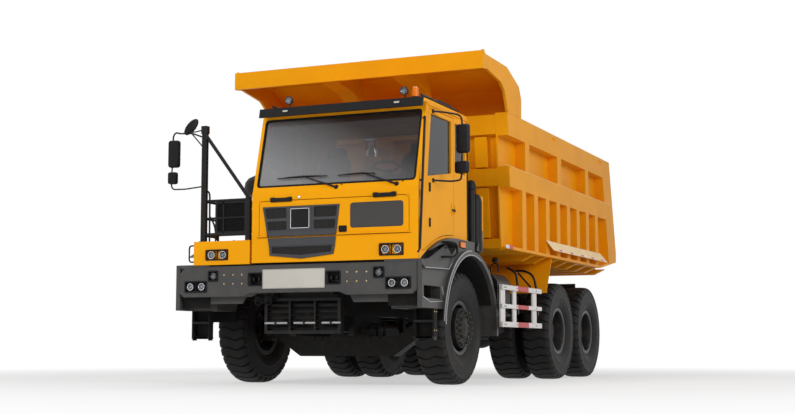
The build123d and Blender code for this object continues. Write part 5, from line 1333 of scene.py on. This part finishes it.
# %% Step panels and arch liners
step_panels = join(bar((1.478, -3.892, 0.62), (1.742, -3.884, 0.975), 0.002),
                   bar((1.728, -3.985, 0.62), (1.748, -3.885, 0.975), 0.004),
                   bar((1.476, -3.985, 0.62), (1.490, -3.885, 0.975), 0.004),
                   bar((1.50, -3.99, 0.600), (1.72, -3.93, 0.632), 0.004))
step_side = span("access_steps")[1][0]
step_bolts = [(step_side - 0.002, y, z) for y in (-3.97, -3.90) for z in (0.93, 0.70)]
piece("step_details", "chassis", "grey_paint",
      (mirrored(copies(bolt((0, 0, 0), 0.009, (1, 0, 0)), step_bolts)), brass),
      (mirrored(step_panels), liner))
outer_arc, inner_arc = (arch_path(radius, 20, 175, 0.0, 22)[:, 1:] for radius in (0.938, 0.932))
arch_liner = left_plate(np.vstack([outer_arc, inner_arc[::-1]]), 1.27, 0.475, 0.001)
piece("arch_liners", "chassis", "black_plastic", (mirrored(arch_liner), liner))

# %% [markdown]
# ## Side guards, hoops and tanks
# The guards are flat bars, white with a red band across all three. The red parts are their own boxes over
# the same section, so paint edges stay sharp. Bolt heads mark every crossing with a post, and short black
# arms hold the bars. Bent black tubes stand above the tanks, and the smallest carries a round knob.

# %% Guards in white and red
GUARD_BARS = [(0.770, 0.845), (1.030, 1.090), (1.285, 1.355)]
RED = (-1.211, -0.720)
white, red, heads, arms = [], [], [], []
for low_z, high_z in GUARD_BARS:
    for y0, y1, group in ((-1.885, RED[0], white), (RED[0], RED[1], red), (RED[1], -0.090, white)):
        group.append(bar((1.885, y0, low_z), (1.915, y1, high_z), 0.004))
    heads += [(1.915, y, (low_z + high_z) / 2) for y in (-1.80, -1.74, -1.26, -0.365)]
for y0, y1 in ((-1.885, -1.700), (-1.350, RED[0]), (-0.460, -0.270)):
    white.append(bar((1.868, y0, 0.770), (1.890, y1, 1.355), 0.004))
for arm_y in (-1.140, -0.200):
    arms.append(bar((1.78, arm_y, 0.960), (1.889, arm_y + 0.05, 1.100), 0.004))
bolts = copies(bolt((0, 0, 0), 0.011, (1, 0, 0)), heads)
piece("guard_bars", "chassis", "white_red_paint", (mirrored(join(*white)), white_paint),
      (mirrored(join(*red)), red_paint), (mirrored(bolts), steel), (mirrored(join(*arms)), black),
      replaces=["side_guards"])
hoops = [pipe([(1.535, -0.58, 1.66), (1.604, -0.58, 1.640), (1.680, -0.58, 1.57), (1.700, -0.58, 1.40)],
              0.018, 0.05),
         pipe([(1.44, 0.08, 1.655), (1.59, 0.08, 1.650), (1.70, 0.08, 1.60), (1.75, 0.08, 1.52),
               (1.775, 0.08, 1.38)], 0.018, 0.05),
         tube([(1.49, 0.08, 1.62), (1.69, 0.08, 1.40)], 0.014),
         pipe([(1.50, -1.20, 1.56), (1.50, -1.20, 1.66), (1.57, -1.20, 1.70), (1.62, -1.20, 1.66),
               (1.62, -1.20, 1.56)], 0.010, 0.03)]
knob = turned([(0, 0), (0, 0.04), (0.01, 0.045), (0.05, 0.045), (0.07, 0.03), (0.075, 0.0)],
              (1.57, -1.20, 1.705), (0, 0, 1), 24)
piece("side_hoops", "chassis", "black_paint", (join(*hoops), black), (knob, black_plastic))

# %% [markdown]
# The boxes beside the tanks have tops of chequer plate, whose diamonds keep boots from slipping. Each is a
# flat pyramid on a lozenge, four triangles in all, and every second one lies the other way. The tanks have
# clamp straps, a filler cap, valves and, on the boxes, a lid with its latch.

# %% Tanks on both sides
CHEQUER_TOP = 1.515
CHEQUER_STEP = 0.048


def diamonds(low, high, z):
    """Raised diamonds of chequer plate on a level top: long thin lozenges, every second one turned."""
    xs, ys = np.meshgrid(np.arange(low[0], high[0], CHEQUER_STEP), np.arange(low[1], high[1], CHEQUER_STEP))
    xs, ys = xs.ravel(), ys.ravel()
    turned_ones = (np.round(xs / CHEQUER_STEP) + np.round(ys / CHEQUER_STEP)) % 2
    lozenge = np.array([(-0.016, 0, 0), (0, -0.005, 0), (0.016, 0, 0), (0, 0.005, 0), (0, 0, 0.003)])
    other = lozenge[:, [1, 0, 2]]
    shapes = np.where(turned_ones[:, None, None] > 0, other[None], lozenge[None])
    points = (shapes + np.stack([xs, ys, np.full(len(xs), z)], axis=1)[:, None]).reshape(-1, 3)
    faces = np.array([0, 1, 4, 1, 2, 4, 2, 3, 4, 3, 0, 4])
    corners = (np.arange(len(xs)) * 5)[:, None] + faces[None]
    return points, corners.ravel(), np.full(4 * len(xs), 3)


box_plates = diamonds((0.62, -1.69), (1.67, -1.18), CHEQUER_TOP)
straps = join(*[left_plate(rectangle((y, 0.64), (y + 0.04, 1.235)), 1.78, 0.008, 0.002)
                for y in (-0.95, -0.45)])
straps = (straps[0] * (-1, 1, 1), *straps[1:])  # reflected: the straps belong to the tank on the right
cap = turned([(0, 0), (0, 0.05), (0.03, 0.05), (0.036, 0.042), (0.036, 0)],
             (-1.60, -0.35, 1.24), (0, 0, 1), 28)
valve = [(0, 0), (0, 0.02), (0.03, 0.02), (0.03, 0.01), (0.05, 0.01), (0.05, 0)]
valves = join(*[turned(valve, (1.25, -0.21, z), (0, 1, 0), 16) for z in (0.83, 1.17)])
box_lid = join(bar((1.776, -1.66, 1.00), (1.786, -1.21, 1.36), 0.004),
               bar((1.782, -1.46, 1.30), (1.796, -1.41, 1.335), 0.004))
piece("tank_fittings", "chassis", "black_paint", (mirrored(box_plates), steel), (straps, steel),
      (cap, black_plastic), (valves, steel), (mirrored(box_lid), black))

# %% [markdown]
# ## The dump body
# The body's ribs and rails are construction pieces. What is left are the sloping flaps along its foot, the
# reflectors, pale tubes along its rails as a painted highlight, and hooks on the rails. A flap is a thin
# plate whose ends lean, laid along a slope: it is drawn in the plane of the truck's length and the slope's
# upward direction.

# %% Flaps, reflectors and hooks of the body
flap_foot, flap_top = np.array([BODY_LEFT + 0.090, 0, 1.957]), np.array([BODY_LEFT, 0, 2.108])
flap_up = (flap_top - flap_foot) / np.linalg.norm(flap_top - flap_foot)
flap_height = np.linalg.norm(flap_top - flap_foot)
flap = plate([(0.23, 0), (3.425, 0), (3.28, flap_height), (0.115, flap_height)], 0.008, flap_foot,
             (0, 1, 0), flap_up, 0.002)
piece("side_flaps", "dump_body", "flap_rubber", (mirrored(flap), flap_rubber), replaces=["mud_flaps"])


def tape_on_flap(y):
    """A strip of reflective tape, 15 cm long and 3 cm wide, on the flap from Y onwards."""
    strip = rectangle((y, 0.006), (y + 0.15, 0.036))
    return plate(strip, 0.0025, flap_foot + (0.0045, 0, 0.0065), (0, 1, 0), flap_up, 0.0005)


red_tape, white_tape = [], []
for y in np.arange(0.55, 3.1, 0.62):
    red_tape.append(tape_on_flap(y))
    white_tape.append(tape_on_flap(y + 0.15))
TAPE_LOW, TAPE_HIGH = 1.865, 1.915
for group, y0, y1 in ((white_tape, -1.76, -1.61), (red_tape, -1.61, -1.45)):
    group.append(left_plate(rectangle((y0, TAPE_LOW), (y1, TAPE_HIGH)), BODY_LEFT, 0.003, 0.001))
# painted highlight: pale tubes along the waist rail and the top rail stand in for light on their edges
highlight_bead_paint = coating("edge_highlight", colour(246, 190, 96), 0.4, coat=0.1, dust=0.03)
highlight_beads = join(*[tube([(BODY_LEFT - 0.002, y0, z), (BODY_LEFT - 0.002, y1, z)], 0.006, 8)
               for y0, y1, z in ((-1.70, 4.03, 3.04), (-1.02, 4.00, 3.797))])
hook_in, hook_out = BODY_LEFT - 0.004, BODY_LEFT + 0.03
hooks = join(*[pipe([(hook_in, y, 3.70), (hook_out, y, 3.70), (hook_out, y, 3.74), (hook_in, y, 3.74)],
                    0.007, 0.012, 8) for y in (0.55, 3.35)])
piece("body_highlights_and_hooks", "dump_body", "yellow_paint", (mirrored(highlight_beads), highlight_bead_paint),
      (mirrored(hooks), body_yellow))
piece("reflector_tape", "dump_body", "white_red_paint", (mirrored(join(*red_tape)), red_paint),
      (mirrored(join(*white_tape)), white_paint))

# %% [markdown]
# Behind the rear wheels, on each side of the frame, an arm carries a plate with a red and an amber lamp.

# %% Rear lamps on their brackets
lamp_arm = pipe([(0.47, 3.30, 1.42), (0.80, 3.36, 1.42), (1.45, 3.36, 1.42)], 0.022, 0.05)
lamp_plate = bar((1.05, 3.345, 1.43), (1.45, 3.375, 1.60), 0.006)
red_glass = bar((1.07, 3.372, 1.45), (1.25, 3.392, 1.58), 0.006)
amber_glass = bar((1.26, 3.372, 1.45), (1.43, 3.392, 1.58), 0.006)
piece("rear_lamps", "chassis", "lamp", (mirrored(join(lamp_arm, lamp_plate)), black),
      (mirrored(red_glass), red_lens), (mirrored(amber_glass), amber))

# %% [markdown]
# ## Inside the cab
# Seats are soft, so each cushion is its own closed shape. A cushion is a superellipsoid: a sphere whose sines
# and cosines are raised to a power below one, which swells it towards a box. Its middle bulges a little more,
# as a stuffed cushion does.

# %% Cushions
def swollen(value):
    """The power 0.35 of a sine or cosine, with its sign kept."""
    return np.sign(value) * np.abs(value) ** 0.35


def cushion(centre, size, lean=0.0, rows=15, columns=28):
    """x, y and z are powers of the sines and cosines of two angles, leaned about X at the end."""
    up = np.linspace(-math.pi / 2, math.pi / 2, rows)[:, None]
    round_ = np.linspace(0, 2 * math.pi, columns + 1)[None, :-1]
    x = swollen(np.cos(up)) * swollen(np.cos(round_))
    y = swollen(np.cos(up)) * swollen(np.sin(round_))
    z = swollen(np.sin(up)) * np.ones_like(round_)
    z = z * (1 + 0.10 * (1 - x ** 2) * (1 - y ** 2))
    flat = np.stack([x * size[0] / 2, y * size[1] / 2, z * size[2] / 2], axis=-1)
    cos, sin = math.cos(lean), math.sin(lean)
    turn = np.array([[1, 0, 0], [0, cos, -sin], [0, sin, cos]])
    return grid(flat @ turn.T + np.array(centre), around=True)


driver_x = CAB_LEFT - 0.580
for label, seat_x, width in (("driver", driver_x, 0.50), ("mate", CAB_RIGHT + 0.500, 0.46)):
    base = piece(f"{label}_seat_base", "chassis", "seat_fabric",
                 (cushion((seat_x, -3.26, 2.405), (width, 0.50, 0.15)), cushion_cloth),
                 replaces=["seats"] if label == "driver" else ())
    back = piece(f"{label}_seat_back", "chassis", "seat_fabric",
                 (cushion((seat_x, -2.985, 2.76), (width * 0.96, 0.66, 0.14), lean=1.40), cushion_cloth))
    head = piece(f"{label}_seat_head", "chassis", "seat_fabric",
                 (cushion((seat_x, -2.905, 3.13), (0.27, 0.19, 0.11), lean=1.40), cushion_cloth))
    stem, recliner = 0.05, width / 2 - 0.03
    frame_parts = [bar((seat_x - 0.17, -3.45, 2.06), (seat_x + 0.17, -3.09, 2.33), 0.03)]
    frame_parts += [tube([(x, -2.925, 3.03), (x, -2.91, 3.10)], 0.006, 8)
                    for x in (seat_x - stem, seat_x + stem)]
    frame_parts += [tube([(x, -3.05, 2.42), (x, -2.98, 2.62)], 0.016, 8)
                    for x in (seat_x - recliner, seat_x + recliner)]
    piece(f"{label}_seat_frame", "chassis", "black_plastic", (join(*frame_parts), black_plastic))

# %% [markdown]
# On the dashboard a hood shades three round gauges, with air vents beside it, and a bent gear lever stands
# between the seats.

# %% Dashboard and gear lever
hood = left_plate([(-4.13, 2.545), (-3.985, 2.47), (-3.99, 2.56), (-4.05, 2.64), (-4.13, 2.64)],
                  driver_x - 0.24, 0.48, 0.012)
gauges = []
for aside, radius in ((-0.11, 0.05), (0.02, 0.05), (0.13, 0.03)):
    dial = [(0, 0), (0, radius), (0.010, radius), (0.010, radius * 0.86), (0.002, radius * 0.82), (0.002, 0)]
    gauges.append(turned(dial, (driver_x + aside, -4.00, 2.545), (0, 0.87, 0.5), 24))
vents = join(*[bar((x, -4.05, 2.515), (x + 0.16, -4.00, 2.530), 0.003) for x in (0.62, 0.32, -0.05, -0.35)])
shifter = join(pipe([(0.50, -3.35, 2.06), (0.50, -3.38, 2.30), (0.50, -3.46, 2.42)], 0.012, 0.05),
               turned([(0, 0), (0.0, 0.02), (0.02, 0.03), (0.045, 0.028), (0.06, 0.0)],
                      (0.50, -3.45, 2.40), (0, -0.55, 0.83), 16))
piece("dash_details", "chassis", "black_plastic", (join(hood, vents, shifter), black_plastic),
      (join(*gauges), steel))

# %% [markdown]
# ## Under the bumper
# Low in front the radiator stands behind its guard: thin fins before a dark core, with three bright pipes
# and their clips across the guard. Leaf springs are clamped to the axle by U-bolts: each is a tube with
# two bends.

# %% Radiator, pipes and U-bolts
low, high = span("radiator_guard")
fins = join(*[bar((low[0] + 0.05, high[1] + 0.004, z), (high[0] - 0.05, high[1] + 0.022, z + 0.006), 0.001)
              for z in np.arange(low[2] + 0.05, high[2] - 0.04, 0.022)])
core = bar((low[0] + 0.04, high[1] + 0.024, low[2] + 0.04),
           (high[0] - 0.04, high[1] + 0.034, high[2] - 0.02), 0.002)
rust = coating("warm_iron", colour(92, 70, 56), 0.6, metallic=0.3, dust=0.3, mottle=0.2)
pipes = join(*[tube([(x0, low[1] - 0.03, 0.80), (x1, low[1] - 0.03, 0.80)], 0.013)
               for x0, x1 in ((-0.52, -0.20), (-0.10, 0.20), (0.30, 0.56))])
clips = join(*[bar((x - 0.012, low[1] - 0.052, 0.775), (x + 0.012, low[1] + 0.002, 0.825), 0.003)
               for x in (-0.36, 0.05, 0.43)])
piece("radiator_details", "chassis", "black_paint", (fins, rust), (core, liner), (pipes, highlight_and_pipe_grey),
      (clips, black))
bolts = []
for side in (1, -1):
    x0, x1 = side * 0.365, side * 0.485
    for y in (-2.86, -2.64):
        bolts.append(pipe([(x0, y, 0.60), (x0, y, 0.80), (x1, y, 0.80), (x1, y, 0.60)], 0.012, 0.03, 8))
piece("spring_clamps", "chassis", "steel", (join(*bolts), black))

# %% [markdown]
# ## Floor, light and surroundings
# The floor is a plain pale sheet that fades to white far away, where it meets a white world. The world
# looks white to the camera and to mirrors, but lights the truck only moderately, so that the big soft
# lamps still shape it.

# %% Floor
def seen_directly(tree):
    """1 for rays from the camera, a mirror or through glass, and 0 for rays that light a surface."""
    path = add(tree, "LightPath")
    some = add(tree, "Math", {0: path.outputs["Is Camera Ray"], 1: path.outputs["Is Glossy Ray"]},
               operation="MAXIMUM")
    return add(tree, "Math", {0: some.outputs[0], 1: path.outputs["Is Transmission Ray"]},
               operation="MAXIMUM").outputs[0]


floor_finish, tree, output = new_material("studio_floor")
place = add(tree, "TexCoord").outputs["Object"]
distance = add(tree, "VectorMath", {0: place}, operation="LENGTH").outputs["Value"]
far = ramp(tree, distance, 6.0, 13.0, 0.55, 1.0)
share = add(tree, "Math", {0: far, 1: seen_directly(tree)}, operation="MULTIPLY").outputs[0]
sheet_colour = blend(tree, ramp(tree, noise(tree, place, 0.8), 0.3, 0.7), (0.78, 0.78, 0.78, 1),
                     (0.82, 0.82, 0.82, 1))
sheet = add(tree, "BsdfDiffuse", {"Color": sheet_colour})
white = add(tree, "Emission", {"Color": (1, 1, 1, 1), "Strength": 1.0})
both = add(tree, "MixShader", {0: share, 1: sheet.outputs[0], 2: white.outputs[0]})
tree.links.new(both.outputs[0], output.inputs["Surface"])
FLOOR_HALF = 120.0
floor_corners = [(x * FLOOR_HALF, y * FLOOR_HALF, 0) for x, y in ((-1, -1), (1, -1), (1, 1), (-1, 1))]
floor_mesh = bpy.data.meshes.new("floor")
floor_mesh.from_pydata(floor_corners, [], [(0, 1, 2, 3)])
floor_mesh.materials.append(floor_finish)
floor = bpy.data.objects.new("floor", floor_mesh)
bpy.context.collection.objects.link(floor)
print("floor:", 2 * FLOOR_HALF, "m wide")

# %% [markdown]
# The lamps stand like the windows of a studio: one far ahead, one as strong on the truck's left, and a
# wider but weaker one overhead. The one ahead is left out of reflections, because glass and paint would
# show it as a white disc.

# %% World and lamps
world = bpy.data.worlds.new("surroundings")
bpy.context.scene.world = world
world.use_nodes = True
tree = world.node_tree
tree.nodes.clear()
seen = seen_directly(tree)
dim = add(tree, "Background", {"Color": (1, 1, 1, 1), "Strength": 0.26})
bright = add(tree, "Background", {"Color": (1, 1, 1, 1), "Strength": 1.0})
mixed = add(tree, "MixShader", {0: seen, 1: dim.outputs[0], 2: bright.outputs[0]})
tree.links.new(mixed.outputs[0], add(tree, "OutputWorld").inputs["Surface"])

lamp_rows = [  # name, place, width, power in watts
    ("key", (-4.0, -18.0, 10.0), 9.0, 1400),
    ("side", (17.0, -9.0, 8.0), 9.0, 1400),
    ("top", (0.0, 2.0, 16.0), 12.0, 760),
]
aim = Vector((0.3, -1.5, 1.8))
for name, spot, width, power in lamp_rows:
    light = bpy.data.lights.new(name, "AREA")
    light.shape = "DISK"
    light.size = width
    light.energy = power
    item = bpy.data.objects.new(name, light)
    item.location = spot
    item.rotation_euler = (aim - Vector(spot)).to_track_quat("-Z", "Y").to_euler()
    item.visible_glossy = name != "key"
    bpy.context.collection.objects.link(item)
print("lamps:", len(lamp_rows))

# %% [markdown]
# ## Finish
# The view transform is set to Standard.

# %% Finish
bpy.context.scene.view_settings.view_transform = "Standard"
